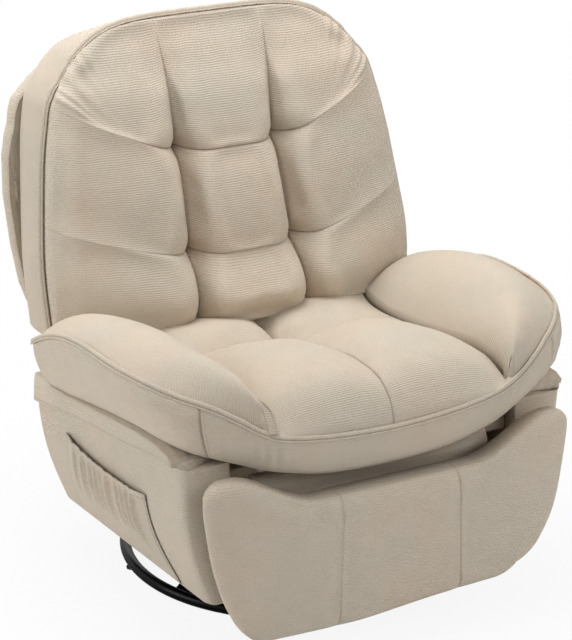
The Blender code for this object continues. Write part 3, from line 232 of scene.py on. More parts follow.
plasticLook = {"moulded": (0.018, 0.018, 0.019, 1.0), "scuffed": (0.07, 0.07, 0.068, 1.0), "worn": 0.3,
               "rough": 0.45, "grain": 1500.0, "grainHeight": 0.0001}


def makePlastic(look):
    # moulded black plastic with a spark-eroded grain and scuffs
    skin = Skin("mouldedPlastic")
    spot = skin.place()
    grain = skin.noise(spot, look["grain"], 1.0)
    scuff = skin.noise(spot, 90.0, 4.0, 0.7)
    tone = skin.mixed(skin.mask(scuff, 0.55, 0.75) * look["worn"], look["moulded"], look["scuffed"])
    skin.feed(Base_Color=tone, Roughness=look["rough"] + scuff * 0.25,
              Normal=skin.bump(grain, look["grainHeight"], 0.4))
    return skin.material


def makeRailCloth(look):
    # the same cloth on the timber front rail, which has no map of its own; painted shade darkens its rib
    # grooves
    skin = Skin("wrappedRail")
    solid = skin.place()
    height = skin.node("ShaderNodeSeparateXYZ", {}, {0: solid}, out=2)
    rib = skin.single("SINE", height * (2.0 * math.pi / look["ribPitch"])) * 0.5 + 0.5
    yarn = skin.noise(solid, look["yarn"], 2.0, 0.6)
    # painted shade: the rib grooves darkened towards the groove colour
    tone = skin.mixed((1.0 - rib) * 0.4, (*look["light"], 1.0), (*look["groove"], 1.0))
    tone = skin.mixed(yarn * 0.3, tone, (*look["fleck"], 1.0))
    skin.feed(Base_Color=tone, Roughness=0.88 + yarn * 0.1, Specular_IOR_Level=0.15,
              Normal=skin.bump(rib * 0.6 + yarn * 0.4, 0.0008, 0.8))
    return skin.material


fabric = makeFabric("ribbedChenille", fabricLook)
blackSteel = makeBlackSteel(steelLook)
zincSteel = makeZincSteel(zincLook)
timber = makeTimber(timberLook)
plastic = makePlastic(plasticLook)
railCloth = makeRailCloth(fabricLook)
print("materials made")


# surfaces as grids
def smoothRead(table, at, column=1):
    # a smooth line through a table's points: cubic pieces whose slopes come from the neighbours
    rows = np.array(table, float)
    x, y = rows[:, 0], rows[:, column]
    slope = np.gradient(y, x)
    at = np.clip(at, x[0], x[-1])
    k = np.clip(np.searchsorted(x, at, side="right") - 1, 0, len(x) - 2)
    step = x[k + 1] - x[k]
    t = (at - x[k]) / step
    return ((1 + 2 * t) * (1 - t) ** 2 * y[k] + t * (1 - t) ** 2 * step * slope[k]
            + t * t * (3 - 2 * t) * y[k + 1] + t * t * (t - 1) * step * slope[k + 1])


def straightRead(table, at):
    # the same with straight lines between the points
    return np.interp(at, *np.array(table).T)


def gridOf(first, second):
    return np.meshgrid(first, second, indexing="ij")


def lengthAlong(path):
    # the distance from a path's start to each of its points
    return np.concatenate([[0], np.cumsum(np.linalg.norm(np.diff(path, axis=0), axis=1))])


def stations(edges, counts, ease):
    # places between the edges, closer together near each edge, as a cosine spreads them
    places = [np.array([edges[0]], float)]
    for start, end, count in zip(edges, edges[1:], counts):
        t = np.linspace(0.0, 1.0, count + 1)[1:]
        t = (1 - ease) * t + ease * (1 - np.cos(np.pi * t)) / 2
        places.append(start + (end - start) * t)
    return np.concatenate(places)


def eased(t):
    # 0 to 1 with level ends
    t = np.clip(t, 0.0, 1.0)
    return t * t * (3 - 2 * t)


def rolled(distance, radius):
    # height of a quarter-round roll at a distance from its edge, as a share
    return np.sqrt(np.clip(1 - (1 - np.clip(distance / radius, 0, 1)) ** 2, 0, 1))


def hollow(distance, width, power=2.0):
    # depth of a valley between two stuffed cells, as a share: 1 less a superellipse arc
    t = 1 - np.clip(np.abs(distance) / width, 0, 1)
    return 1 - np.clip(1 - t ** power, 0, 1) ** (1 / power)


def bump(at, centre, width):
    return np.exp(-((at - centre) / width) ** 2)


def ripples(at, seed, waves, low, high):
    # an uneven ripple from -1 to 1: a few sines whose pitch and phase are drawn from a seed
    draw = np.random.default_rng(seed)
    total = np.zeros_like(at)
    for _ in range(waves):
        total += np.sin(at * draw.uniform(low, high) + draw.uniform(0, 2 * np.pi))
    return total / waves


def pleated(at, seed, count, low, high, width):
    # ridges of pinched cloth at uneven places between low and high: a sum of narrow bells
    draw = np.random.default_rng(seed)
    places = low + (high - low) * (np.arange(count) + draw.uniform(-0.28, 0.28, count) + 0.5) / count
    heights = draw.uniform(0.55, 1.0, count)
    return sum(h * np.exp(-((at - p) / (width * h)) ** 2) for p, h in zip(places, heights))


def roundCorner(toSide, toEnd, radius):
    # turns a square corner into a round one: each square ring about its centre becomes an arc;
    # gives how far a point moves in from the side and from the end
    p, q = np.clip(radius - toSide, 0, None), np.clip(radius - toEnd, 0, None)
    length = np.hypot(p, q)
    keep = np.where(length > 0, np.maximum(p, q) / np.maximum(length, 1e-9), 1.0)
    return p * (1 - keep), q * (1 - keep)


def smoothed(grid, passes, held=None):
    # evens a grid: each inner point moves towards the mean of its four neighbours
    grid = grid.copy()
    for _ in range(passes):
        mean = (grid[:-2, 1:-1] + grid[2:, 1:-1] + grid[1:-1, :-2] + grid[1:-1, 2:]) / 4
        grid[1:-1, 1:-1] += 0.5 * (mean - grid[1:-1, 1:-1])
        if held is not None:
            grid[held] = 0.0
    return grid


def numbered(columns, rows):
    return np.arange(columns * rows).reshape(columns, rows)


def quadsOf(index):
    return np.stack([index[:-1, :-1], index[1:, :-1], index[1:, 1:], index[:-1, 1:]], -1).reshape(-1, 4)


def placed(name, data):
    item = bpy.data.objects.new(name, data)
    home.objects.link(item)
    return item


def putMesh(name, points, quads, weave, skin, sewn=None, others=()):
    # one mesh from arrays, its faces turned outwards by the sign of its volume
    mesh = bpy.data.meshes.new(name)
    points = points + np.array([0.0, axisY, 0.0])
    a, b, c, d = (points[quads[:, k]] for k in range(4))
    volume = np.einsum("ij,ij->i", a, np.cross(b, c)).sum() + np.einsum("ij,ij->i", a, np.cross(c, d)).sum()
    faces = [list(f) for f in quads.tolist()] + [list(f) for f in others]
    if volume < 0:
        faces = [f[::-1] for f in faces]
    mesh.from_pydata(points.tolist(), [], faces)
    mesh.validate()
    corner = np.zeros(len(mesh.loops), np.int64)
    mesh.loops.foreach_get("vertex_index", corner)
    layer = mesh.uv_layers.new(name="weave")
    layer.data.foreach_set("uv", weave[corner].astype(np.float32).ravel())
    # the painted seam shade is kept per point for the cloth's material
    marks = mesh.attributes.new("sewn", "FLOAT", "POINT")
    marks.data.foreach_set("value", (np.zeros(len(points)) if sewn is None else sewn).astype(np.float32))
    mesh.shade_smooth()
    mesh.materials.append(skin)
    return placed(name, mesh)


def padShell(name, face, rear, weave, sewn=None):
    # a closed pad: the seen face, its rear surface, and walls between their borders
    columns, rows = face.shape[:2]
    size = columns * rows
    index = numbered(columns, rows)
    border = np.concatenate([index[:-1, 0], index[-1, :-1], index[:0:-1, -1], index[0, :0:-1]])
    after = np.roll(border, -1)
    front = quadsOf(index)
    walls = np.stack([border, border + size, after + size, after], -1)
    points = np.concatenate([face.reshape(-1, 3), rear.reshape(-1, 3)])
    quads = np.concatenate([front, front[:, ::-1] + size, walls])
    cloth = np.concatenate([weave.reshape(-1, 2), weave.reshape(-1, 2) + [0.0, 0.02]])
    marks = None if sewn is None else np.concatenate([sewn.ravel(), sewn.ravel() * 0])
    return putMesh(name, points, quads, cloth, fabric, marks)


stuffing = {"calm": 24, "frames": 20, "mass": 0.15, "tension": 12.0, "shear": 5.0, "bending": 0.35,
            "damping": 12.0, "airDamping": 4.0, "quality": 5}


def inflated(face, held, air, turn=1):
    # blows a sheet of cloth up from its seams: Cloth with air behind it and a share of spare cloth;
    # a point moves by the cap at most, and the swelling is evened over its neighbours
    quads = quadsOf(numbered(*face.shape[:2]))[:, ::turn]
    mesh = bpy.data.meshes.new("stuffing")
    mesh.from_pydata(face.reshape(-1, 3).tolist(), [], quads.tolist())
    item = placed("stuffing", mesh)
    group = item.vertex_groups.new(name="sewn")
    group.add(np.flatnonzero(held.ravel()).tolist(), 1.0, "REPLACE")
    cloth = item.modifiers.new("Cloth", "CLOTH")
    setup = cloth.settings
    setup.quality = stuffing["quality"]
    setup.mass = stuffing["mass"]
    setup.tension_stiffness = setup.compression_stiffness = stuffing["tension"]
    setup.shear_stiffness = stuffing["shear"]
    setup.bending_stiffness = stuffing["bending"]
    setup.tension_damping = setup.compression_damping = stuffing["damping"]
    setup.shear_damping, setup.air_damping = stuffing["damping"], stuffing["airDamping"]
    setup.use_pressure = True
    setup.uniform_pressure_force = air["pressure"]
    setup.shrink_min = -air["spare"]
    setup.vertex_group_mass = "sewn"
    setup.effector_weights.gravity = 0.0
    cloth.point_cache.frame_start, cloth.point_cache.frame_end = 1, stuffing["frames"]
    scene = bpy.context.scene
    for number in range(1, stuffing["frames"] + 1):
        scene.frame_set(number)
    scene.view_layers[0].update()
    shaped = item.evaluated_get(bpy.context.evaluated_depsgraph_get()).to_mesh()
    found = np.empty(len(shaped.vertices) * 3)
    shaped.vertices.foreach_get("co", found)
    moved = found.reshape(face.shape) - face
    far = np.linalg.norm(moved, axis=-1, keepdims=True)
    moved *= np.minimum(1.0, air["cap"] / np.maximum(far, 1e-9))
    moved = smoothed(moved, stuffing["calm"], held)
    bpy.data.objects.remove(item, do_unlink=True)
    scene.frame_set(1)
    print("  stuffed: moved up to %.1f mm" % (far.max() * 1000))
    return face + moved


def frames(path, closed):
    # unit tangents along a path
    if closed:
        ahead = np.roll(path, -1, 0) - np.roll(path, 1, 0)
    else:
        ahead = np.gradient(path, axis=0)
    return ahead / np.linalg.norm(ahead, axis=1, keepdims=True)


def carried(name, path, facing, profile, skin, closed=False, swell=None, sewn=None):
    # a closed profile (x across, y outwards) carried along a path; facing gives the outward way
    ahead = frames(path, closed)
    out = facing - (facing * ahead).sum(1, keepdims=True) * ahead
    out /= np.linalg.norm(out, axis=1, keepdims=True)
    side = np.cross(ahead, out)
    count, ring = len(path), len(profile)
    shape = profile[None] * (np.ones((count, 1, 1)) if swell is None else swell[:, None, :])
    points = path[:, None] + side[:, None] * shape[..., :1] + out[:, None] * shape[..., 1:]
    length = lengthAlong(path)
    girth = np.linspace(0, 0.02, ring)
    ll, gg = gridOf(length, girth)
    weave = np.stack([gg, ll], -1).reshape(-1, 2)
    index = numbered(count, ring)
    index = np.concatenate([index, index[:, :1]], 1)
    if closed:
        index = np.concatenate([index, index[:1]])
    quads = quadsOf(index)
    caps = [] if closed else [index[0, :-1].tolist(), index[-1, -2::-1].tolist()]
    marks = None if sewn is None else np.broadcast_to(sewn, (count, ring)).ravel()
    return putMesh(name, points.reshape(-1, 3), quads, weave, skin, marks, caps)


def roundProfile(width, height, count, power=2.0):
    # a flattened round, as a superellipse
    turn = np.linspace(0, 2 * np.pi, count, endpoint=False)
    c, s = np.cos(turn), np.sin(turn)
    return np.stack([np.sign(c) * np.abs(c) ** (2 / power) * width / 2,
                     np.sign(s) * np.abs(s) ** (2 / power) * height / 2], -1)


sides = ((-1, "left"), (1, "right"))
flange = {"width": 0.0125, "height": 0.0060, "step": 0.004, "stitch": -0.0022, "groove": 0.0024,
          "points": 36}


def flangeProfile():
    # a folded edge of cloth: a flat round-ended bar with the line of stitches pressed into its face, and
    # painted shade along that line
    shape = roundProfile(flange["width"], flange["height"], flange["points"], 3.2)
    press = bump(shape[:, 0], flange["stitch"], 0.0010) * (shape[:, 1] > 0)
    shape[:, 1] -= flange["groove"] * press
    # the second value is painted shade in the pressed stitch line
    return shape, press * 0.75


def rideOn(item, body, *nodes, slot="upholstery", fill=None):
    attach(item, body)
    if nodes:
        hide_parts(*nodes)


def addPad(name, body, nodes, fill, face, rear, weave, sewn=None):
    # a closed pad that rides on its body and stands for the nodes named
    rideOn(padShell(name, face, rear, weave, sewn), body, *nodes, fill=fill)


def addWelt(name, body, path, facing, ripple, turn=1):
    # a sewn flange along a path; its width grows and shrinks with the ripple
    swell = np.ones((len(path), 2))
    swell[:, 0] += ripple
    shape, stitchShade = flangeProfile()
    rideOn(carried(name, path, facing, shape * [turn, 1], fabric, swell=swell, sewn=stitchShade), body)


# back cushion
back = {
    "baseY": 0.226, "baseZ": 0.447, "lean": math.tan(math.radians(12.0)), "bottom": 0.434,
    "edge": ((0.434, 0.398), (0.567, 0.398), (0.660, 0.388), (0.825, 0.360), (0.875, 0.345),
             (0.918, 0.312)),
    "topMiddle": 1.008, "corner": (0.312, 0.918), "topPower": 4.7,
    "seam": ((0, 0.1205), (1, 0.111), (2, 0.106), (3, 0.115)),
    "seamEdge": (0.434, 0.646, 0.867, 0.918), "tufts": (0.434, 0.574, 0.764),
    "crown": ((0.0, 0.080), (0.25, 0.098), (1.0, 0.080), (2.0, 0.052), (3.0, 0.004)),
    "puff": ((0.0, 0.030), (0.5, 0.044), (1.0, 0.043), (1.5, 0.045), (2.0, 0.042), (2.5, 0.034),
             (3.0, 0.012)),
    "rim": 0.020, "inset": 0.003, "rollSide": 0.20, "rollTop": 0.24, "rollLow": 0.05,
    "upright": ((0.0, 0.048), (0.4, 0.064), (1.0, 0.066), (1.5, 0.068), (2.0, 0.064), (2.35, 0.046),
                (2.6, 0.028), (2.85, 0.010), (3.0, 0.002)),
    "uprightIn": 0.060, "uprightOut": 0.064, "overlap": 0.26, "between": 0.004,
    "air": {"pressure": 3.5, "cap": 0.010, "spare": 0.004},
    "level": ((0.0, 0.016), (0.8, 0.020), (1.0, 0.026), (1.15, 0.017), (1.35, 0.008), (1.6, 0.0035),
              (2.0, 0.0015)),
    "levelWide": ((0.0, 0.050), (1.0, 0.050), (1.25, 0.036), (1.6, 0.018), (2.0, 0.010)),
    "pinch": 0.010, "pinchWide": 0.016, "pleat": 0.0130, "pleatWide": 0.038, "pleatReach": 0.044,
    "small": 0.0010, "seamBack": 0.004,
}


def backPlane(z):
    # the leaning plane through the back's piping
    return back["baseY"] + back["lean"] * (z - back["baseZ"])


def backOutline(u, w):
    # |u| runs 0 to 1 to the upright seam and 1 to 2 to the edge; w is 0, 1, 2, 3 at the level seams
    seam = smoothRead(back["seam"], w)
    cornerX, cornerZ = back["corner"]
    edgeZ = np.interp(w, (0, 1, 2, 3), back["seamEdge"])
    edgeX = smoothRead(back["edge"], edgeZ)
    a = np.abs(u)
    share = np.clip(a - 1, 0, 1)
    x = np.where(a <= 1, seam * a, seam + (edgeX - seam) * share)
    seamTop = back["seam"][3][1]
    topX = seamTop * np.minimum(a, 1) + (cornerX - seamTop) * share
    top = back["topMiddle"] - (back["topMiddle"] - cornerZ) * (topX / cornerX) ** back["topPower"]
    middle = np.interp(w, (0, 1, 2), back["tufts"])
    high = back["tufts"][2] + (back["seamEdge"][2] - back["tufts"][2]) * share ** 1.15
    z = np.where(w <= 2, middle + (edgeZ - middle) * share ** 1.15, high + (top - high) * (w - 2))
    return np.sign(u) * x, z


def backFace(u, w):
    # the crown and the cells' swelling, less a valley at each seam, deepest where two cross
    x, z = backOutline(u, w)
    edge = smoothRead(back["edge"], np.minimum(z, back["corner"][1]))
    a = np.abs(u)
    crown = smoothRead(back["crown"], w) * (1 - np.clip(np.abs(x) / edge, 0, 1) ** 2.6)
    across = np.abs(x) - smoothRead(back["seam"], w)
    between = np.sin(np.pi * w) ** 2 * (1 - eased((w - 2.4) / 0.3))      # 0 at the tufts, 1 halfway
    wide = np.where(across < 0, back["uprightIn"], back["uprightOut"]) * (1 - back["overlap"] * between)
    valley = smoothRead(back["upright"], w) * hollow(across, wide, 1.8)
    for row in (1, 2):
        along = z - backOutline(u, np.full_like(w, row))[1]
        valley += smoothRead(back["level"], a) * hollow(along, smoothRead(back["levelWide"], a), 1.8)
        valley += back["pinch"] * np.exp(-(across ** 2 + along ** 2) / back["pinchWide"] ** 2)
    rim = np.minimum(rolled(2 - a, back["rollSide"]), rolled(3 - w, back["rollTop"]))
    rim = rim * rolled(w, back["rollLow"])
    puff = (smoothRead(back["puff"], w) + back["between"] * between - valley) * rim
    # pleats pinched into the piping at the upper corners, each along a line from the corner's centre
    turn = np.arctan2(z - 0.77, np.abs(x) - 0.18)
    toEdge = np.minimum((2 - a) * 0.25, (3 - w) * 0.22)
    pleats = pleated(turn, 4, 6, 0.56, 1.20, back["pleatWide"])
    pleats = pleats * np.exp(-((toEdge / back["pleatReach"]) ** 1.3))
    small = back["small"] * ripples(z * 130, 3, 4, 0.6, 1.4) * np.exp(-toEdge / 0.022) * (a > 1.2)
    drag = back["pleat"] * (pleats - 0.45 * bump(turn, 0.8, 0.5) * np.exp(-((toEdge / 0.030) ** 2)))
    out = crown + puff + drag * eased(toEdge / 0.004) + small
    return np.stack([x, backPlane(z) - out + back["seamBack"] * (1 - rolled(toEdge, 0.010)), z], -1)


def buildBack():
    u = stations((-2, -1, 1, 2), (64, 64, 64), 0.75)
    w = stations((0, 1, 2, 3), (44, 52, 60), 0.75)
    uu, ww = gridOf(u, w)
    inner = 1 - back["inset"] / 0.28 * np.clip(np.abs(uu) - 1, 0, 1) ** 3
    face = backFace(uu * inner, np.minimum(ww, 3 - 0.012 * (ww / 3) ** 9))
    held = (np.abs(np.abs(uu) - 1) < 1e-6) & (ww < 2.9) & (ww > 0.05)
    held |= (np.abs(ww - np.round(ww)) < 1e-6) | (np.abs(uu) > 1.97) | (ww > 2.97) | (ww < 0.03)
    face = inflated(face, held, back["air"], -1)
    x, z = backOutline(uu, ww)
    rear = np.stack([x * (1 - 0.016 * np.clip(np.abs(uu) - 1, 0, 1)), backPlane(z) + back["rim"],
                     z - 0.006 * (ww / 3) ** 6], -1)
    flat = np.stack([x, z / math.cos(math.atan(back["lean"]))], -1)
    # painted shade along the seams, stronger in the middle columns and lower down, where the valleys are
    # deepest
    sewn = np.maximum(bump(np.abs(np.abs(uu) - 1), 0, 0.007),
                      np.maximum(bump(np.abs(ww - 1), 0, 0.006), bump(np.abs(ww - 2), 0, 0.006)))
    sewn *= (0.35 + 0.65 * eased((1.5 - np.abs(uu)) / 0.4)) * (0.3 + 0.7 * eased((2.5 - ww) / 0.4))
    addPad("back_pillow", "backrest", ("back_cushion",), 0.8, face, rear, flat, sewn)

    # the outline of the back, once round from the lower right over the top
    rise = stations((0, 3), (90,), 0.0)
    right = np.stack(backOutline(np.full_like(rise, 2.0), rise), -1)
    over = stations((2, -2), (120,), 0.0)[1:]
    across = np.stack(backOutline(over, np.full_like(over, 3.0)), -1)
    return np.concatenate([right, across, right[-2::-1] * [-1, 1]])


def spaced(line, step):
    # the same line with points at even steps; what stands after x, y and z is only carried along
    length = lengthAlong(line[:, :3])
    at = np.linspace(0, length[-1], int(length[-1] / step) + 1)
    return np.stack([np.interp(at, length, line[:, k]) for k in range(line.shape[1])], -1), at


def outward(line):
    # the way out of an outline given in x and z
    ahead = np.gradient(line, axis=0)
    out = np.stack([ahead[:, 1], -ahead[:, 0]], -1)
    return out / np.linalg.norm(out, axis=1, keepdims=True)


boxing = {
    "start": 0.0030, "end": 0.0945, "inner": 0.011, "swell": 0.0100, "tuck": 0.0030, "crease": 0.0016,
    "wave": 0.0012, "rearStart": 0.021,
    # how far the rear edge moves out, along the outline from the top's middle by its x, then down by z
    "over": ((0.0, -0.036), (0.185, -0.034), (0.222, -0.026), (0.250, -0.014), (0.282, 0.000),
             (0.312, 0.008)),
    "down": ((0.434, 0.003), (0.640, 0.003), (0.730, 0.005), (0.830, 0.009), (0.918, 0.008)),
}


def buildBackTrim(line):
    line, at = spaced(line, flange["step"])
    out = outward(line)
    gathered = eased((line[:, 1] - 0.82) / 0.06) * (0.35 + 0.65 * bump(np.abs(line[:, 0]), 0.33, 0.05))
    wave = boxing["wave"] * ripples(at * 170, 5, 3, 0.5, 1.3) * gathered
    edge = line + out * (0.0012 + wave)[:, None]
    path = np.stack([edge[:, 0], backPlane(edge[:, 1]) - 0.0008, edge[:, 1]], -1)
    facing = np.stack([out[:, 0] * 0.75, np.full(len(out), -0.65), out[:, 1] * 0.75], -1)
    addWelt("back_welt", "backrest", path, facing, 0.14 * ripples(at * 230, 8, 3, 0.5, 1.4) * gathered)

    # boxing: the outline carried rearwards, moved out by a sine's arch, so that it is a soft roll
    # tucked in at both its seams, and by a lean that grows to the rear
    depth = stations((0, 1), (30,), 0.75)
    kk, dd = gridOf(np.arange(len(line)), depth)
    crease = boxing["crease"] * (0.5 * ripples(at * 55, 11, 4, 0.5, 1.5)
                                 + 0.5 * ripples(at * 150, 12, 3, 0.6, 1.3) * gathered)
    arch = np.sin(np.pi * (dd * 0.97) ** 0.92) ** 0.55
    over = smoothRead(boxing["over"], np.abs(line[:, 0]))
    lean = np.where(line[:, 1] > back["corner"][1], over, smoothRead(boxing["down"], line[:, 1]))
    full = boxing["swell"] * arch + crease[:, None] * np.sin(np.pi * dd) ** 0.7 + lean[:, None] * dd
    low = line[kk] + out[kk] * (full - boxing["tuck"])[..., None]
    inner = line[kk] + out[kk] * (np.minimum(lean, 0)[:, None] * dd - boxing["inner"])[..., None]
    plane = backPlane(line[kk][..., 1])
    span, rearSpan = boxing["end"] - boxing["start"], boxing["end"] - boxing["rearStart"]
    face = np.stack([low[..., 0], plane + boxing["start"] + span * dd, low[..., 1]], -1)
    rear = np.stack([inner[..., 0], plane + boxing["rearStart"] + rearSpan * dd, inner[..., 1]], -1)
    weave = np.stack([np.broadcast_to(at[:, None], dd.shape), np.broadcast_to(depth * 0.11, dd.shape)], -1)
    addPad("back_boxing_cover", "backrest", ("back_boxing",), 0.6, face, rear, weave)


shell = {
    "edge": ((0.225, 0.300), (0.405, 0.304), (0.435, 0.380), (0.520, 0.404), (0.600, 0.412),
             (0.705, 0.415), (0.784, 0.408), (0.817, 0.399), (0.841, 0.385), (0.862, 0.364),
             (0.880, 0.335)),
    "top": ((0.0, 0.972), (0.150, 0.966), (0.220, 0.950), (0.270, 0.930), (0.300, 0.914),
            (0.335, 0.890), (0.360, 0.868), (0.400, 0.830)),
    "bottom": 0.225, "start": 0.0953, "bulge": 0.040, "roll": 0.034, "depth": 0.026, "tucked": 180.0,
    "flat": 0.86, "seamZ": 0.470, "seamX": 0.240, "seamU": 0.533, "seamW": 0.340,
    "hemW": 0.03, "rollW": 0.93, "hem": 0.008, "seamWide": 0.028, "seamDeep": 0.007, "shadeLineWide": 0.0022,
    "uprightDeep": 0.006,
    "levels": ((0.0, 0.225), (0.03, 0.233), (0.30, 0.440), (0.34, 0.484), (0.93, 0.834), (1.0, 0.880)),
}


def buildShell():
    # a padded panel: y is the leaning plane plus the panel's depth, a bulge that is 1 less a power
    # of the way from its middle, and at the rim a circle's arc that tucks in against the boxing
    near, seamU, seamW = 0.012, shell["seamU"], shell["seamW"]        # finer rows beside the seams
    hemW, rollW = shell["hemW"], shell["rollW"]
    half = stations((0, seamU - near, seamU, seamU + near, shell["flat"], 1), (34, 5, 5, 20, 18), 0.3)
    u = np.concatenate([-half[:0:-1], half])
    w = stations((0, hemW, 0.253, 0.296, seamW - near / 2, seamW, seamW + near / 2, rollW, 1),
                 (6, 26, 10, 6, 4, 4, 76, 18), 0.3)
    uu, ww = gridOf(u, w)
    r = shell["roll"]
    top = math.radians(shell["tucked"])
    alpha = np.clip((np.abs(uu) - shell["flat"]) / (1 - shell["flat"]), 0, 1) * top
    beta = np.clip((ww - rollW) / (1 - rollW), 0, 1) * top
    gamma = np.clip((hemW - ww) / hemW, 0, 1) * math.radians(90.0)
    edgeX = straightRead(shell["edge"], straightRead(shell["levels"], ww))
    share = np.abs(uu) / shell["flat"]
    sewnAt = seamU / shell["flat"]
    x = np.where(share < sewnAt, shell["seamX"] * share / sewnAt,
                 shell["seamX"] + (edgeX - r - shell["seamX"]) * (share - sewnAt) / (1 - sewnAt))
    x = np.where(alpha > 0, edgeX - r + r * np.sin(alpha), x)
    topZ = smoothRead(shell["top"], x)
    hem = shell["bottom"] + shell["hem"]
    lower = hem + (shell["seamZ"] - hem) * np.clip((ww - hemW) / (seamW - hemW), 0, 1)
    upper = np.clip((ww - seamW) / (rollW - seamW), 0, 1)
    z = np.where(ww < seamW, lower, shell["seamZ"] + (topZ - r - shell["seamZ"]) * upper)
    z = z + r * np.sin(beta) - shell["hem"] * np.sin(gamma)
    start = backPlane(z) + shell["start"]
    lowRim = 0.4 + 0.6 * np.cos(gamma)
    lift = shell["depth"] * np.minimum(np.cos(alpha), np.minimum(np.cos(beta), lowRim))
    reach = np.clip(np.abs(uu) / shell["flat"], 0, 1)
    fall = (1 - reach ** 3.5) * (1 - np.abs(2 * np.clip(ww / rollW, 0, 1) - 1) ** 4)
    seam = shell["seamDeep"] * hollow(z - shell["seamZ"], shell["seamWide"]) * (alpha < 0.5)
    upright = hollow(x - shell["seamX"], shell["seamWide"]) * eased((z - shell["seamZ"]) / 0.02)
    seam = seam + shell["uprightDeep"] * upright * (beta < 0.5)
    y = start + shell["depth"] + lift + shell["bulge"] * fall - seam
    y = np.maximum(y, start)
    face = np.stack([np.sign(uu) * x, y, z], -1)
    rear = np.stack([np.sign(uu) * x * 0.99, start, z - 0.002 * ww], -1)
    # painted shade along the panel's level seam and its upright seams above it
    sewn = np.maximum(bump(z, shell["seamZ"], shell["shadeLineWide"]),
                      bump(x, shell["seamX"], shell["shadeLineWide"]) * (z > shell["seamZ"]))
    addPad("outer_back_cover", "backrest", ("outer_back",), 0.5,
           face, rear, np.stack([np.sign(uu) * x, z], -1), sewn)


backLine = buildBack()
buildBackTrim(backLine)
buildShell()
print("back made")


# band round the arms and the seat's front
band = {
    "top": ((0.000, -0.409, 0.414), (0.120, -0.408, 0.420), (0.215, -0.404, 0.434), (0.262, -0.401, 0.455),
            (0.300, -0.393, 0.481), (0.342, -0.369, 0.504), (0.385, -0.333, 0.519), (0.420, -0.280, 0.532),
            (0.442, -0.190, 0.536), (0.449, -0.070, 0.533), (0.453, 0.020, 0.520), (0.454, 0.100, 0.492),
            (0.452, 0.171, 0.456)),
    "low": ((0.000, -0.394, 0.336), (0.120, -0.392, 0.341), (0.200, -0.386, 0.356), (0.240, -0.380, 0.366),
            (0.275, -0.370, 0.378), (0.320, -0.352, 0.392), (0.362, -0.326, 0.404), (0.384, -0.270, 0.407),
            (0.392, -0.180, 0.401), (0.398, -0.070, 0.386), (0.404, 0.020, 0.373), (0.411, 0.100, 0.362),
            (0.418, 0.188, 0.353)),
    "bulge": ((0.0, 0.013), (4.0, 0.015), (5.5, 0.022), (8.0, 0.022), (9.5, 0.014), (12.0, 0.011)),
    "wall": 0.016, "frontWall": 0.045, "seam": 5.35, "seamDeep": 0.0045, "crease": 0.0012, "drag": 0.0018,
    "railY": -0.3608, "weltIn": 0.0030, "endRoll": 0.12, "lowIn": 0.003, "topIn": 0.0025,
}


def bandLine(line, place):
    # a point of a band line; whole numbers are its own points, and negative ones its mirror image
    table = np.array(line)
    rows = np.concatenate([table[:0:-1] * [-1, 1, 1], table])
    count = len(table) - 1
    index = np.arange(-count, count + 1)
    return np.stack([smoothRead(np.stack([index, rows[:, k]], -1), place) for k in range(3)], -1)


def bandInward(place):
    # the level way into the chair
    ahead = bandLine(band["top"], place + 0.15) - bandLine(band["top"], place - 0.15)
    inward = np.stack([-ahead[..., 1], ahead[..., 0], np.zeros_like(place)], -1)
    return inward / np.linalg.norm(inward, axis=-1, keepdims=True)


def buildBand():
    # a strip from its top line to its low line, moved out by the bulge times a sine's arch, with
    # a valley at each side seam, small creases, and an end that rolls in
    last = len(band["top"]) - 1
    place = stations((-last, -band["seam"], band["seam"], last), (60, 170, 60), 0.3)
    drop = stations((0, 1), (28,), 0.75)
    pp, dd = gridOf(place, drop)
    top, low, inward = bandLine(band["top"], pp), bandLine(band["low"], pp), bandInward(pp)
    ends = rolled(last - np.abs(pp), band["endRoll"])
    seam = hollow(np.abs(pp) - band["seam"], 0.25) * np.sin(np.pi * dd) ** 0.5
    middle = np.sin(np.pi * dd)
    crease = band["crease"] * ripples(pp * 9 + dd * 2, 21, 4, 0.6, 1.6) * middle
    drag = band["drag"] * np.sin(dd * 26 + pp * 3) * bump(np.abs(pp), band["seam"] + 0.45, 0.45) * middle
    bulge = smoothRead(band["bulge"], np.abs(pp))
    proud = bulge * np.sin(np.pi * dd ** 0.85) ** 0.72 * ends - band["seamDeep"] * seam + crease + drag
    proud -= band["lowIn"] * eased((dd - 0.85) / 0.15) + band["topIn"] * (1 - eased(dd / 0.08))
    base = top + (low - top) * dd[..., None]
    face = base - inward * proud[..., None]
    wall = np.interp(np.abs(pp), (2.0, 2.5), (band["frontWall"], band["wall"]))
    rear = base + inward * wall[..., None]
    rear[..., 1] = np.where(np.abs(pp) < 2.4, np.minimum(rear[..., 1], band["railY"]), rear[..., 1])
    length = lengthAlong(bandLine(band["top"], place))
    weave = np.stack([np.broadcast_to(length[:, None], dd.shape), -dd * 0.12], -1)
    # painted shade along the side seams, with a fainter line beside each
    sewn = bump(np.abs(pp), band["seam"], 0.030) + 0.4 * bump(np.abs(pp), band["seam"] - 0.12, 0.025)
    addPad("arm_band", "seat_unit", ("band_front", "band_left", "band_right"), 0.6,
           face, rear, weave, np.clip(sewn, 0, 1))

    # the welt follows the band's top line; the place along the band is carried with it
    fine = np.linspace(-last, last, 900)
    path = bandLine(band["top"], fine)
    both, at = spaced(np.concatenate([path, fine[:, None]], 1), flange["step"])
    inward = bandInward(both[:, 3])
    path = both[:, :3] - inward * band["weltIn"] + np.array([0, 0, -0.0005])
    path += inward * (0.0006 * ripples(at * 120, 31, 3, 0.5, 1.4))[:, None]
    facing = -inward * 0.86 + np.array([0, 0, 0.5])
    addWelt("arm_welt", "seat_unit", path, facing, 0.03 * ripples(at * 190, 33, 3, 0.5, 1.4), -1)


buildBand()
print("band made")


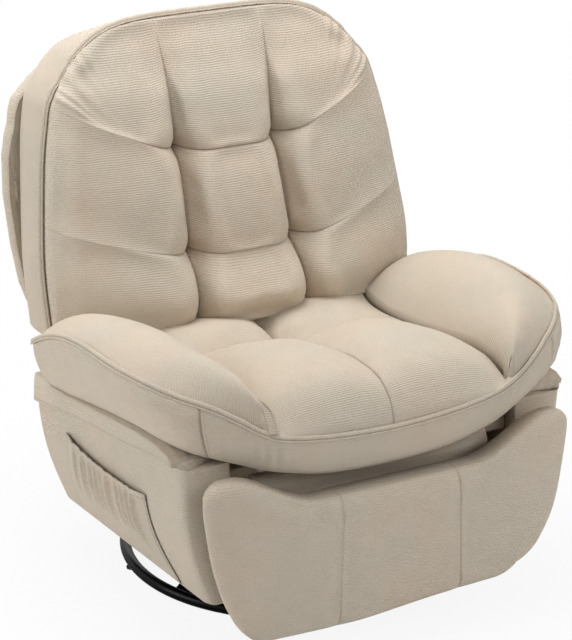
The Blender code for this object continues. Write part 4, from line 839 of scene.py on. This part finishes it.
# seat cushion and arm pads
seat = {
    "half": 0.249, "front": -0.408, "rear": 0.152, "tuftY": 0.004, "bottom": 0.3567, "lip": -0.360,
    "middle": ((-0.408, 0.496), (-0.330, 0.499), (-0.257, 0.502), (-0.184, 0.490), (-0.100, 0.468),
               (-0.050, 0.448), (-0.020, 0.436), (0.004, 0.428), (0.030, 0.430), (0.060, 0.436),
               (0.090, 0.438), (0.152, 0.438)),
    "puff": ((-0.408, 0.004), (-0.300, 0.009), (-0.150, 0.013), (-0.050, 0.010), (0.004, 0.006),
             (0.060, 0.010), (0.152, 0.004)),
    "alongDepth": ((-0.408, 0.003), (-0.300, 0.010), (-0.184, 0.015), (-0.100, 0.019), (-0.040, 0.024),
                   (0.004, 0.028), (0.050, 0.028), (0.100, 0.026), (0.152, 0.016)),
    "alongWide": (0.066, 0.060), "acrossWide": 0.052, "tuft": 0.010, "tuftWide": 0.022, "fold": 0.0020,
    "acrossLeft": ((0.0, 0.014), (0.15, 0.017), (0.5, 0.013), (0.85, 0.007), (1.0, 0.002)),
    "acrossRight": ((0.0, 0.014), (0.12, 0.012), (0.25, 0.007), (0.45, 0.002), (1.0, 0.0)),
    "frontRoll": 0.095, "rearZ": 0.451, "rearLeft": 0.011, "rearDrop": 0.004, "rearRoll": 0.045,
    "sink": 0.016,
    "air": {"pressure": 4.5, "cap": 0.012, "spare": 0.018},
}
pad = {
    "innerX": 0.2545, "front": -0.3855, "rear": 0.152, "bow": 0.044, "base": 0.4083, "start": 2.95,
    "crest": ((-0.404, 0.268, 0.462), (-0.394, 0.276, 0.500), (-0.380, 0.289, 0.525),
              (-0.355, 0.308, 0.549), (-0.315, 0.330, 0.569), (-0.270, 0.345, 0.580),
              (-0.180, 0.357, 0.585), (-0.100, 0.362, 0.578), (-0.023, 0.365, 0.560),
              (0.054, 0.367, 0.537), (0.127, 0.369, 0.509), (0.210, 0.374, 0.482)),
    "valley": ((-0.404, 0.444), (-0.384, 0.462), (-0.350, 0.478), (-0.300, 0.484), (-0.238, 0.480),
               (-0.147, 0.464), (-0.038, 0.448), (0.057, 0.440), (0.170, 0.452)),
    "rearRoll": 0.08, "drag": 0.0011, "peaks": (0.35, 0.72), "powers": (0.80, 0.90), "gap": 0.0015,
    "passes": 60, "passesAfter": 180, "air": {"pressure": 4.0, "cap": 0.010, "spare": 0.008},
}


def bandTopZ(x):
    table = np.array(band["top"])
    return smoothRead(table[:9], np.abs(x), 2)


def seatTop(u, y):
    # a crowned plane between the arms, swollen in four cells about the sunk middle
    edge = smoothRead(pad["valley"], y) - 0.004 - seat["rearDrop"] * eased((y - 0.03) / 0.08)
    middle = smoothRead(seat["middle"], y)
    a = np.abs(u)
    z = middle + (edge - middle) * a ** 2.6
    arch = np.sin(np.pi * a) ** 0.8
    x = u * seat["half"]
    left = x < 0
    z = z + arch * (smoothRead(seat["puff"], y) + seat["rearLeft"] * left * bump(y, 0.070, 0.048))
    across = np.where(left, straightRead(seat["acrossLeft"], a), straightRead(seat["acrossRight"], a))
    off = y - seat["tuftY"]
    valley = across * hollow(off, seat["acrossWide"], 1.9)
    valley += smoothRead(seat["alongDepth"], y) * hollow(x, np.where(left, *seat["alongWide"]), 1.9)
    valley += seat["tuft"] * np.exp(-(x ** 2 + off ** 2) / seat["tuftWide"] ** 2)
    z = z - valley
    # small folds that the sunk middle draws in the cloth about it: a sine round it, fading outwards
    ang = np.arctan2(off, x)
    far = np.hypot(x, off)
    z = z + seat["fold"] * np.sin(ang * 9 + 0.6) * bump(far, 0.050, 0.028)
    rim = rolled(1 - a, np.where(left, 0.16, 0.22))
    z = edge - seat["sink"] + (z - edge + seat["sink"]) * (0.15 + 0.85 * rim)
    lip = bandTopZ(x) + 0.001
    z = lip + (z - lip) * rolled(y - seat["front"], seat["frontRoll"])
    return seat["rearZ"] + (z - seat["rearZ"]) * rolled(seat["rear"] - y, seat["rearRoll"])


def buildSeat():
    u = stations((-1, 0, 1), (70, 70), 0.7)
    y = stations((seat["front"], seat["tuftY"], seat["rear"]), (110, 44), 0.7)
    uu, yy = gridOf(u, y)
    z = seatTop(uu, yy)
    x = uu * seat["half"]
    face = np.stack([x, yy, z], -1)
    held = (np.abs(uu) < 1e-6) | (np.abs(np.abs(uu) - 1) < 0.01)
    held |= (np.abs(yy - seat["tuftY"]) < 1e-6) & (uu < 0.16) & (uu > -0.9)
    held |= (yy < seat["front"] + 0.003) | (yy > seat["rear"] - 0.004)
    face = inflated(face, held, seat["air"])
    low = np.where(yy < seat["lip"], bandTopZ(x) - 0.002, seat["bottom"])
    rear = np.stack([x * (1 - 0.02 * np.abs(uu) ** 4), yy, np.minimum(low, z - 0.001)], -1)
    # painted shade along the level seam beside the tuft and along the middle seam, stronger in front
    level = 0.6 * bump(yy, seat["tuftY"], 0.0018) * eased((0.25 - uu) / 0.2) * eased((1 + uu) * 2)
    sewn = np.maximum(bump(x, 0, 0.0020) * (0.4 + 0.6 * (yy < 0)), level)
    along = lengthAlong(face[35])
    weave = np.stack([x, np.broadcast_to(along, x.shape)], -1)
    addPad("seat_pillow", "seat_unit", ("seat_cushion",), 0.8, face, rear, weave, sewn)


def buildArms():
    # each line across an arm rises as a quarter sine from the seat's side to the crest, and falls as
    # a quarter cosine to the band's brim; the crest's place and height come from its table
    last = len(band["top"]) - 1
    place = stations((pad["start"], last), (130,), 0.5)
    share = stations((0, 1), (72,), 0.7)
    ss, pp = gridOf(share, place)
    run = (pp - place[0]) / (last - place[0])
    innerY = pad["front"] + (pad["rear"] - pad["front"]) * run
    start = np.stack([np.full_like(innerY, pad["innerX"]), innerY, smoothRead(pad["valley"], innerY)], -1)
    inward = bandInward(pp)
    brim = bandLine(band["top"], pp)
    low = bandLine(band["low"], pp)
    rearRoll = 0.80 + 0.20 * rolled(1 - run, pad["rearRoll"])
    foot = pad["base"] + 0.004
    brimZ = foot + (brim[..., 2] - 0.002 - foot) * rearRoll
    end = brim + inward * 0.0020
    end[..., 2] = brimZ
    spot = start + (end - start) * ss[..., None]
    bow = pad["bow"] * ss ** 1.5 * (1 - ss ** 6) * run ** 4
    crestX, crestZ = smoothRead(pad["crest"], spot[..., 1]), smoothRead(pad["crest"], spot[..., 1], 2)
    peak = (crestX - pad["innerX"]) / np.maximum(end[..., 0] - pad["innerX"], 0.02)
    peak = np.clip(peak, *pad["peaks"])
    before = ss < peak
    rise = np.where(before, np.sin(0.5 * np.pi * np.clip(ss / peak, 0, 1)),
                    np.cos(0.5 * np.pi * np.clip((ss - peak) / (1 - peak), 0, 1)))
    power = np.where(before, *pad["powers"])
    level = np.where(before, start[..., 2], brimZ)
    z = level + (np.maximum(crestZ, level) - level) * np.clip(rise, 0, 1) ** power
    z = foot + (z - foot) * rearRoll
    drag = pad["drag"] * ripples(pp * 7 + ss * 5, 71, 4, 0.6, 1.5) * np.sin(np.pi * ss)
    face = np.stack([spot[..., 0], spot[..., 1] + bow, z + drag], -1)
    held = (ss < 0.004) | (ss > 0.996) | (pp < place[0] + 1e-6) | (pp > last - 1e-6)
    face[..., 2] = smoothed(face[..., 2], pad["passes"])
    face = smoothed(inflated(face, held, pad["air"]), pad["passesAfter"])
    clear = brim + inward * (band["wall"] + pad["gap"])
    down = (brim[..., 2] - pad["base"]) / (brim[..., 2] - low[..., 2])
    lowEnd = clear + (low - brim) * down[..., None]
    under = start + (lowEnd - start) * ss[..., None]
    under[..., 1] += bow
    under[..., 2] = pad["base"]
    gg, ll = gridOf(lengthAlong(face[:, 60]), lengthAlong(face.mean(0)))
    for side, label in sides:
        flip = np.array([side, 1, 1])
        addPad("arm_pillow_" + label, "seat_unit", ("arm_pad_" + label,), 0.8,
               face * flip, under * flip, np.stack([gg, ll], -1))


gusset = {
    "armSide": ((-0.2535, -0.3735, 0.5045), (-0.2530, -0.380, 0.4975), (-0.2525, -0.388, 0.4880),
                (-0.2515, -0.399, 0.4690), (-0.2500, -0.407, 0.4500)),
    "seatSide": ((-0.2535, -0.3735, 0.5050), (-0.2440, -0.382, 0.4975), (-0.2345, -0.392, 0.4860),
                 (-0.2310, -0.402, 0.4690), (-0.2290, -0.410, 0.4470)),
    "proud": 0.004, "wall": 0.003, "way": (-0.45, -0.80, 0.40),
}


def buildGusset():
    # a narrow folded triangle between two edges, its seat side raised to a fine ridge
    s = np.linspace(0, 1, 40)
    t = np.linspace(0, 1, 16)
    knots = np.linspace(0, 1, len(gusset["armSide"]))
    tables = [np.array(gusset[key]) for key in ("armSide", "seatSide")]
    lines = [np.stack([smoothRead(np.stack([knots, table[:, k]], -1), s) for k in range(3)], -1)
             for table in tables]
    ss, tt = gridOf(s, t)
    base = lines[0][:, None] + (lines[1] - lines[0])[:, None] * tt[..., None]
    rise = (0.45 + 0.55 * bump(tt, 0.86, 0.14)) * rolled(tt, 0.12) * eased(ss / 0.3)
    way = np.array(gusset["way"])
    rear = base - way * gusset["wall"]
    weave = np.stack([tt * 0.016, ss * 0.08], -1)
    face = base + way * (gusset["proud"] * rise)[..., None]
    addPad("seat_gusset", "seat_unit", (), 0.2, face, rear, weave)


buildSeat()
buildArms()
buildGusset()
print("seat and arms made")


# side panels, pocket and apron
panel = {
    "bottom": 0.108, "front": -0.347, "rearTop": 0.260, "rearBottom": 0.184,
    "lowFrontX": 0.341, "lowRearX": 0.398, "topFrontX": 0.390, "topRearX": 0.412, "bulge": 0.016,
    "wrapX": 0.2963, "inner": 0.3113, "wrapY": -0.3186, "stripAt": 0.902, "stripProud": 0.0095,
    "stripLow": ((-0.347, 0.384), (-0.310, 0.386), (-0.282, 0.383), (-0.152, 0.359), (0.031, 0.334),
                 (0.179, 0.308), (0.293, 0.290)),
    "corner": 0.022, "cornerDepth": 0.014, "rightOut": 0.015, "rearIn": 0.005, "lowIn": 0.004,
    "crease": 0.0011, "stripFront": 0.028, "gap": 0.0015,
}


def panelTop(y):
    table = np.array(band["low"])[3:]
    edges = [np.interp(at, table[:, 1], table[:, 2]) for at in (y, y - band["wall"])]
    return np.minimum(*edges) - panel["gap"]


def panelX(y, z):
    run = np.clip((y - panel["front"]) / (panel["rearTop"] - panel["front"]), 0, 1)
    low = panel["lowFrontX"] + (panel["lowRearX"] - panel["lowFrontX"]) * run
    high = panel["topFrontX"] + (panel["topRearX"] - panel["topFrontX"]) * run
    rise = np.clip((z - panel["bottom"]) / (panelTop(y) - panel["bottom"]), 0, 1)
    return low + (high - low) * rise + panel["bulge"] * np.sin(np.pi * rise)


def buildPanels():
    # x runs straight from the low line to the top line with a sine's bulge; the strip above stands
    # proud of it, and the front end turns in to the wrap
    ahead = stations((panel["wrapX"], 0.335), (18,), 0.3)        # along the front wrap
    run = stations((0, 0.028, 0.032, 1), (10, 2, 120), 0.45)
    rise = stations((0, panel["stripAt"] - 0.003, panel["stripAt"] + 0.003, 1.0), (54, 3, 14), 0.6)
    rr, zz = gridOf(run, rise)
    rearY = panel["rearBottom"] + (panel["rearTop"] - panel["rearBottom"]) * zz
    y = panel["front"] + (rearY - panel["front"]) * rr
    stripZ = smoothRead(panel["stripLow"], y)
    below = panel["bottom"] + (stripZ - panel["bottom"]) * zz / panel["stripAt"]
    above = stripZ + (panelTop(y) - stripZ) * (zz - panel["stripAt"]) / (1 - panel["stripAt"])
    z = np.where(zz < panel["stripAt"], below, above)
    x = panelX(y, z)
    corner = rolled(y - panel["front"], panel["corner"])
    x = x - panel["cornerDepth"] * (1 - corner) - panel["rearIn"] * (1 - rolled(1 - rr, 0.025))
    strip = eased((zz - panel["stripAt"]) / 0.006) * eased((rr - panel["stripFront"]) / 0.004)
    x = x + panel["stripProud"] * strip * (0.80 + 0.20 * rolled(1 - zz, 0.03))
    x = x - panel["lowIn"] * (1 - rolled(zz, 0.03))
    x = x + panel["crease"] * ripples(y * 34 + z * 12, 41, 4, 0.6, 1.6) * np.sin(np.pi * zz)
    flank = np.stack([x, y, z], -1)
    share = (np.arange(len(ahead) - 1) / (len(ahead) - 1))[:, None, None]
    first = flank[:1]
    inner = first.copy()
    inner[..., 0] = panel["wrapX"]
    front = inner + (first - inner) * share
    front[..., 1] -= 0.005 * np.sin(np.pi * share[..., 0]) ** 0.7 * np.sin(np.pi * rise[None]) ** 0.4
    face = np.concatenate([front, flank])
    behind = face.copy()
    behind[..., 1] = np.maximum(behind[..., 1], panel["wrapY"])
    count = len(front)
    behind[count:, :, 0] = panel["inner"]
    behind[:count, :, 0] = np.clip(face[:count, :, 0], panel["wrapX"], panel["inner"])
    weave = np.stack([np.broadcast_to(np.concatenate([ahead[:-1] - 0.04, run * 0.60 + 0.30])[:, None],
                                      face.shape[:2]),
                      np.broadcast_to((rise * 0.28)[None], face.shape[:2])], -1)
    # painted shade along two lines at the strip's lower edge, behind its front end
    line = bump(zz, panel["stripAt"] + 0.016, 0.004) * 0.5 + bump(zz, panel["stripAt"], 0.004) * 0.5
    sewn = np.concatenate([np.zeros((count, len(rise))), line * (rr > 0.03)])
    # the right cover's upper front corner stands a little further out
    further = np.clip((face[..., 0] - panel["inner"]) / 0.08, 0, 1) * rise[None] ** 2
    further = panel["rightOut"] * further * bump(face[..., 1], panel["front"], 0.13)
    for side, label in sides:
        flip = np.array([side, 1, 1])
        shape = face + np.stack([further * (side > 0), further * 0, further * 0], -1)
        addPad("side_cover_" + label, "seat_unit", ("side_panel_" + label,), 0.4,
               shape * flip, behind * flip, weave, sewn)


pocket = {
    "wall": 0.0022, "room": 0.019, "top": 0.282, "bottom": 0.118, "frontTop": -0.205,
    "frontBottom": -0.262, "rear": 0.110, "clear": 0.0012, "pleat": 0.0110, "pleatWide": 0.021, "hem": 0.93,
    "hemWall": 0.0008, "bow": 0.016, "sag": 0.010, "slant": 0.05,
}


def buildPocket():
    # a patch that stands off the side panel by a sine's bag, and by narrow pleats that fade at its hem
    share = stations((0, 1), (190,), 0.35)
    rise = stations((0, pocket["hem"], 1.0), (52, 8), 0.4)
    ss, rr = gridOf(share, rise)
    front = pocket["frontBottom"] + (pocket["frontTop"] - pocket["frontBottom"]) * rr
    front = front + pocket["bow"] * np.sin(np.pi * rr) * (1 - ss)
    y = front + (pocket["rear"] - front) * ss
    z = pocket["bottom"] + (pocket["top"] - pocket["bottom"]) * rr
    z = z - pocket["sag"] * np.sin(np.pi * ss) * rr ** 3
    bag = np.clip(3.2 * np.sin(np.pi * ss), 0, 1) * np.clip(2.6 * rr, 0, 1)
    bag = bag * (1 - 0.45 * eased((rr - 0.55) / 0.45))
    slant = ss + pocket["slant"] * (1 - rr)
    pleats = pleated(slant, 52, 10, 0.10, 0.90, pocket["pleatWide"]) - 0.35
    fade = np.clip(3 * np.sin(np.pi * ss), 0, 1) * eased((rr - 0.18) / 0.5)
    fade = fade * (1 - 0.75 * eased((rr - 0.86) / 0.08))
    hem = pocket["hemWall"] * (rr > pocket["hem"])
    x = panelX(y, z) + pocket["clear"] + pocket["room"] * bag * 0.62 + pocket["pleat"] * pleats * fade
    x = np.maximum(x, panelX(y, z) + pocket["clear"])
    inner = np.stack([-x, y, z], -1)
    outer = np.stack([-x - pocket["wall"] - hem, y, z], -1)
    weave = np.stack([ss * 0.34, rr * 0.165], -1)
    # painted shade along the pocket's hem and both its edges
    sewn = np.maximum(bump(rr, pocket["hem"], 0.008) * 0.6, bump(ss, 0.985, 0.010) * 0.4)
    sewn = np.maximum(sewn, bump(ss, 0.015, 0.006) * 0.7)
    addPad("side_pocket_cover", "seat_unit", ("side_pocket",), 0.2, outer, inner, weave, sewn)


apron = {"half": 0.243, "bottom": 0.165, "top": 0.3345, "back": -0.3183, "wall": 0.036,
         "fold": 0.0050, "topFold": 0.008}


def buildApron():
    # a sheet that stands out by a sine's arch, with slanting folds and a fuller one at its top
    u = stations((-1, 1), (140,), 0.4)
    w = stations((0, 1), (60,), 0.5)
    uu, ww = gridOf(u, w)
    z = apron["bottom"] + (apron["top"] - apron["bottom"]) * ww
    roll = np.sin(np.pi * ww) ** 0.5
    fold = 0.5 + 0.5 * np.sin(ww * 15 + uu * 1.7 + 0.6 * np.sin(uu * 4))
    out = apron["wall"] * (0.42 + 0.40 * roll) + apron["fold"] * fold * eased((ww - 0.45) / 0.25) * roll
    out = out + apron["topFold"] * bump(ww, 0.88, 0.10)
    out = out * (0.35 + 0.65 * rolled(1 - np.abs(uu), 0.05))
    face = np.stack([uu * apron["half"], apron["back"] - out, z], -1)
    rear = np.stack([uu * apron["half"], np.full_like(uu, apron["back"]), z], -1)
    addPad("apron_cover", "seat_unit", ("front_apron",), 0.3,
           face, rear, np.stack([uu * apron["half"], z], -1))


buildPanels()
buildPocket()
buildApron()
print("side covers made")


# footrest
foot = {
    "seamTop": 0.120, "seamBottom": 0.1275, "low": 0.056, "topMiddle": 0.313, "topSide": 0.376,
    "edge": ((0.056, 0.284), (0.085, 0.311), (0.125, 0.333), (0.195, 0.356), (0.277, 0.370),
             (0.335, 0.376), (0.376, 0.373)),
    "middleY": -0.432, "edgeY": -0.406, "bulge": 0.020, "backY": -0.3898, "valley": 0.0065,
    "topCorner": 0.030, "lowCorner": (0.012, 0.060), "rightIn": 0.018, "rightUp": 0.013,
    "rollSide": 0.050, "rollLow": 0.036, "rollTop": 0.055, "valleyWide": 0.035, "tuck": 0.0012,
    "ear": 0.004, "seamBack": 0.004,
    "air": {"pressure": 3.0, "cap": 0.005, "spare": 0.0},
}


def buildFootrest():
    # a board's face between its edge lines with rounded corners; y is a cubic across, less a bulge
    # that rolls over at every edge and sinks in a valley at each seam
    u = stations((-2, -1, 1, 2), (64, 60, 64), 0.6)
    w = stations((0, 1), (110,), 0.7)
    uu, ww = gridOf(u, w)
    a = np.abs(uu)
    seam = foot["seamBottom"] + (foot["seamTop"] - foot["seamBottom"]) * ww
    level = foot["low"] + (foot["topSide"] - foot["low"]) * ww
    edge = smoothRead(foot["edge"], level)
    edge = edge - foot["rightIn"] * (uu > 0) * (1 - eased((level - foot["low"]) / 0.13))
    x = np.where(a <= 1, seam * a, seam + (edge - seam) * (a - 1))
    high = foot["topMiddle"] + (foot["topSide"] - foot["topMiddle"]) * eased((x - 0.16) / 0.17)
    lowZ = foot["low"] + foot["rightUp"] * eased((np.sign(uu) * x + 0.10) / 0.25)
    z = lowZ + (high - lowZ) * ww
    toSide, toTop, toLow = edge - x, high - z, z - lowZ
    inX, inZ = roundCorner(toSide, toTop, foot["topCorner"])
    lowX, lowIn = roundCorner(toSide, toLow, np.where(uu < 0, *foot["lowCorner"]))
    x, z = x - inX - lowX, z - inZ + lowIn
    y = foot["middleY"] + (foot["edgeY"] - foot["middleY"]) * np.clip(x / 0.37, 0, 1) ** 3
    body = np.minimum(rolled(toLow, foot["rollLow"]), rolled(toTop, foot["rollTop"]))
    body = np.minimum(rolled(toSide, foot["rollSide"]), body)
    valley = foot["valley"] * hollow(x - seam, foot["valleyWide"]) * (a < 1.6)
    tuck = foot["tuck"] * ripples(x * 95, 61, 4, 0.6, 1.5) * np.exp(-toTop / 0.03)
    ear = foot["ear"] * bump(x, 0.33, 0.05) * np.exp(-toTop / 0.05)
    y = y - (foot["bulge"] - valley) * body - (tuck + ear) * body + foot["seamBack"] * (1 - body)
    face = np.stack([np.sign(uu) * x, np.minimum(y, foot["backY"] - 0.003), z], -1)
    border = (ww < 1e-6) | (ww > 1 - 1e-6) | (a > 2 - 1e-6)
    face = inflated(face, border | (np.abs(a - 1) < 1e-6), foot["air"], -1)
    rear = np.stack([np.sign(uu) * x * 0.985, np.full_like(x, foot["backY"]), z], -1)
    # painted shade along the two seams
    sewn = bump(a, 1, 0.012) * 0.45
    addPad("footrest_pillow", "footrest", ("footrest_cushion",), 0.7,
           face, rear, np.stack([np.sign(uu) * x, z], -1), sewn)


buildFootrest()
print("footrest made")


# floor ring
ring = {"radius": 0.320, "tube": 0.011, "lift": 0.0145}


def buildRing():
    # a round tube carried along a circle
    turn = np.linspace(0, 2 * np.pi, 240, endpoint=False)
    path = np.stack([ring["radius"] * np.cos(turn), ring["radius"] * np.sin(turn),
                     np.full_like(turn, ring["lift"])], -1)
    facing = np.broadcast_to(np.array([0.0, 0.0, 1.0]), path.shape)
    piece = carried("floor_ring", path, facing, roundProfile(2 * ring["tube"], 2 * ring["tube"], 28),
                    blackSteel, closed=True)
    rideOn(piece, "floor_base", "base_ring", slot="black_steel")


buildRing()

nodeSkins = {
    blackSteel: ("base_spider", "turntable", "glider_bracket_left", "glider_bracket_right"),
    plastic: ("floor_glide_1", "floor_glide_2", "floor_glide_3", "floor_glide_4", "release_cable"),
    timber: ("seat_rear_rail", "arm_board_left", "arm_board_right", "back_stile_left",
             "back_stile_right", "back_lower_rail", "back_upper_rail", "footrest_board"),
    railCloth: ("seat_front_rail",),
}
painted = {name: skin for skin, names in nodeSkins.items() for name in names}
for name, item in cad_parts.items():
    skin = painted.get(name, zincSteel)
    item.data.materials.clear()
    item.data.materials.append(skin)
print("steel and timber painted")


# release tab
tab = {"centre": (-0.25275, -0.330, 0.464), "wall": 0.0045, "width": 0.026, "length": 0.070, "tilt": 30.0}


def buildTab():
    # a folded strap: flat, thinner by an eighth power towards its edges, with two pressed lines
    u = stations((-1, 1), (24,), 0.5)
    w = stations((-1, 1), (40,), 0.6)
    uu, ww = gridOf(u, w)
    thick = tab["wall"] / 2 * np.clip(1 - 0.75 * np.maximum(np.abs(uu), np.abs(ww)) ** 8, 0.2, 1)
    thick *= 1 - 0.28 * bump(np.abs(uu), 0.78, 0.06)
    c, s = math.cos(math.radians(tab["tilt"])), math.sin(math.radians(tab["tilt"]))
    across, along = uu * tab["width"] / 2, ww * tab["length"] / 2
    y = tab["centre"][1] + across * c - along * s
    z = tab["centre"][2] + across * s + along * c
    face = np.stack([tab["centre"][0] + thick, y, z], -1)
    rear = np.stack([tab["centre"][0] - thick, y, z], -1)
    addPad("release_strap", "release_tab", ("release_tab",), None,
           face, rear, np.stack([across, along], -1))


buildTab()


# floor, light and camera
stage = {"floor": 12.0, "near": 0.90, "from": 0.8, "to": 2.0, "world": 0.36}


def buildStage():
    # the floor keeps the shadow near the chair and turns to plain white further out
    size = stage["floor"]
    mesh = bpy.data.meshes.new("floor")
    mesh.from_pydata([(-size, -size, 0), (size, -size, 0), (size, size, 0), (-size, size, 0)], [],
                     [(0, 1, 2, 3)])
    skin = Skin("paleFloor")
    seen = skin.node("ShaderNodeLightPath", {}, {}, out=0)
    spot = skin.place((1.0, 1.0, 0.0))
    far = skin.node("ShaderNodeVectorMath", {"operation": "LENGTH"}, {0: spot}, out=1)
    share = skin.node("ShaderNodeMapRange", {"interpolation_type": "SMOOTHSTEP"},
                      {0: far, 1: stage["from"], 2: stage["to"], 3: stage["near"], 4: 1.0})
    skin.feed(Base_Color=(0.84, 0.84, 0.84, 1.0), Roughness=0.9, Specular_IOR_Level=0.1)
    glow = skin.node("ShaderNodeEmission", {}, {"Color": (1, 1, 1, 1), "Strength": 1.0})
    blend = skin.node("ShaderNodeMixShader", {}, {0: seen * share, 1: Signal(skin, skin.shader.outputs[0]),
                                                  2: glow})
    skin.tree.links.new(blend.socket, skin.tree.nodes["Material Output"].inputs[0])
    mesh.materials.append(skin.material)
    placed("floor", mesh)

    world = bpy.data.worlds.new("studio")
    bpy.context.scene.world = world
    world.use_nodes = True
    tree = world.node_tree
    path = tree.nodes.new("ShaderNodeLightPath")
    mixer = tree.nodes.new("ShaderNodeMixShader")
    # the camera, mirrors and clear stuff see plain white; all else is lit by the weaker world
    seen = path.outputs["Is Camera Ray"]
    for ray in ("Is Glossy Ray", "Is Transmission Ray"):
        either = tree.nodes.new("ShaderNodeMath")
        either.operation = "MAXIMUM"
        tree.links.new(seen, either.inputs[0])
        tree.links.new(path.outputs[ray], either.inputs[1])
        seen = either.outputs[0]
    tree.links.new(seen, mixer.inputs[0])
    shades = ((tree.nodes["Background"], stage["world"]), (tree.nodes.new("ShaderNodeBackground"), 1.0))
    for slot, (shade, strength) in enumerate(shades, 1):
        shade.inputs[0].default_value = (1.0, 1.0, 1.0, 1.0)
        shade.inputs[1].default_value = strength
        tree.links.new(shade.outputs[0], mixer.inputs[slot])
    tree.links.new(mixer.outputs[0], tree.nodes["World Output"].inputs[0])


# each lamp's place, size and power; all look at the middle of the chair
lamps = {
    "key": ((1.9, -2.9, 2.4), 1.6, 38.0),
    "top": ((-0.1, 0.45, 3.0), 1.8, 60.0),
    "left": ((-3.3, 0.6, 1.5), 1.8, 40.0),
    "rear": ((0.6, 3.2, 2.2), 2.4, 20.0),
}


def buildLamps():
    for name, (spot, size, power) in lamps.items():
        light = bpy.data.lights.new(name, "AREA")
        light.shape = "SQUARE"
        light.size = size
        light.energy = power
        item = placed(name, light)
        item.location = spot
        aim = np.array([0.0, 0.0, 0.5]) - np.array(spot)
        item.rotation_euler = (math.acos(-aim[2] / np.linalg.norm(aim)), 0.0,
                               math.atan2(-aim[0], aim[1]))


camera = {"spot": (-1.9161, -3.6463, 2.0900), "tilt": 68.5, "turn": -27.84, "lens": 129.5, "sensor": 36.0}


def buildCamera():
    lens = bpy.data.cameras.new("photo_view")
    lens.lens, lens.sensor_width = camera["lens"], camera["sensor"]
    item = placed("photo_view", lens)
    item.location = camera["spot"]
    item.rotation_euler = (math.radians(camera["tilt"]), 0.0, math.radians(camera["turn"]))
    bpy.context.scene.camera = item


buildStage()
buildLamps()
buildCamera()
bpy.context.scene.view_settings.view_transform = "Standard"
bpy.context.view_layer.update()
print("stage set")
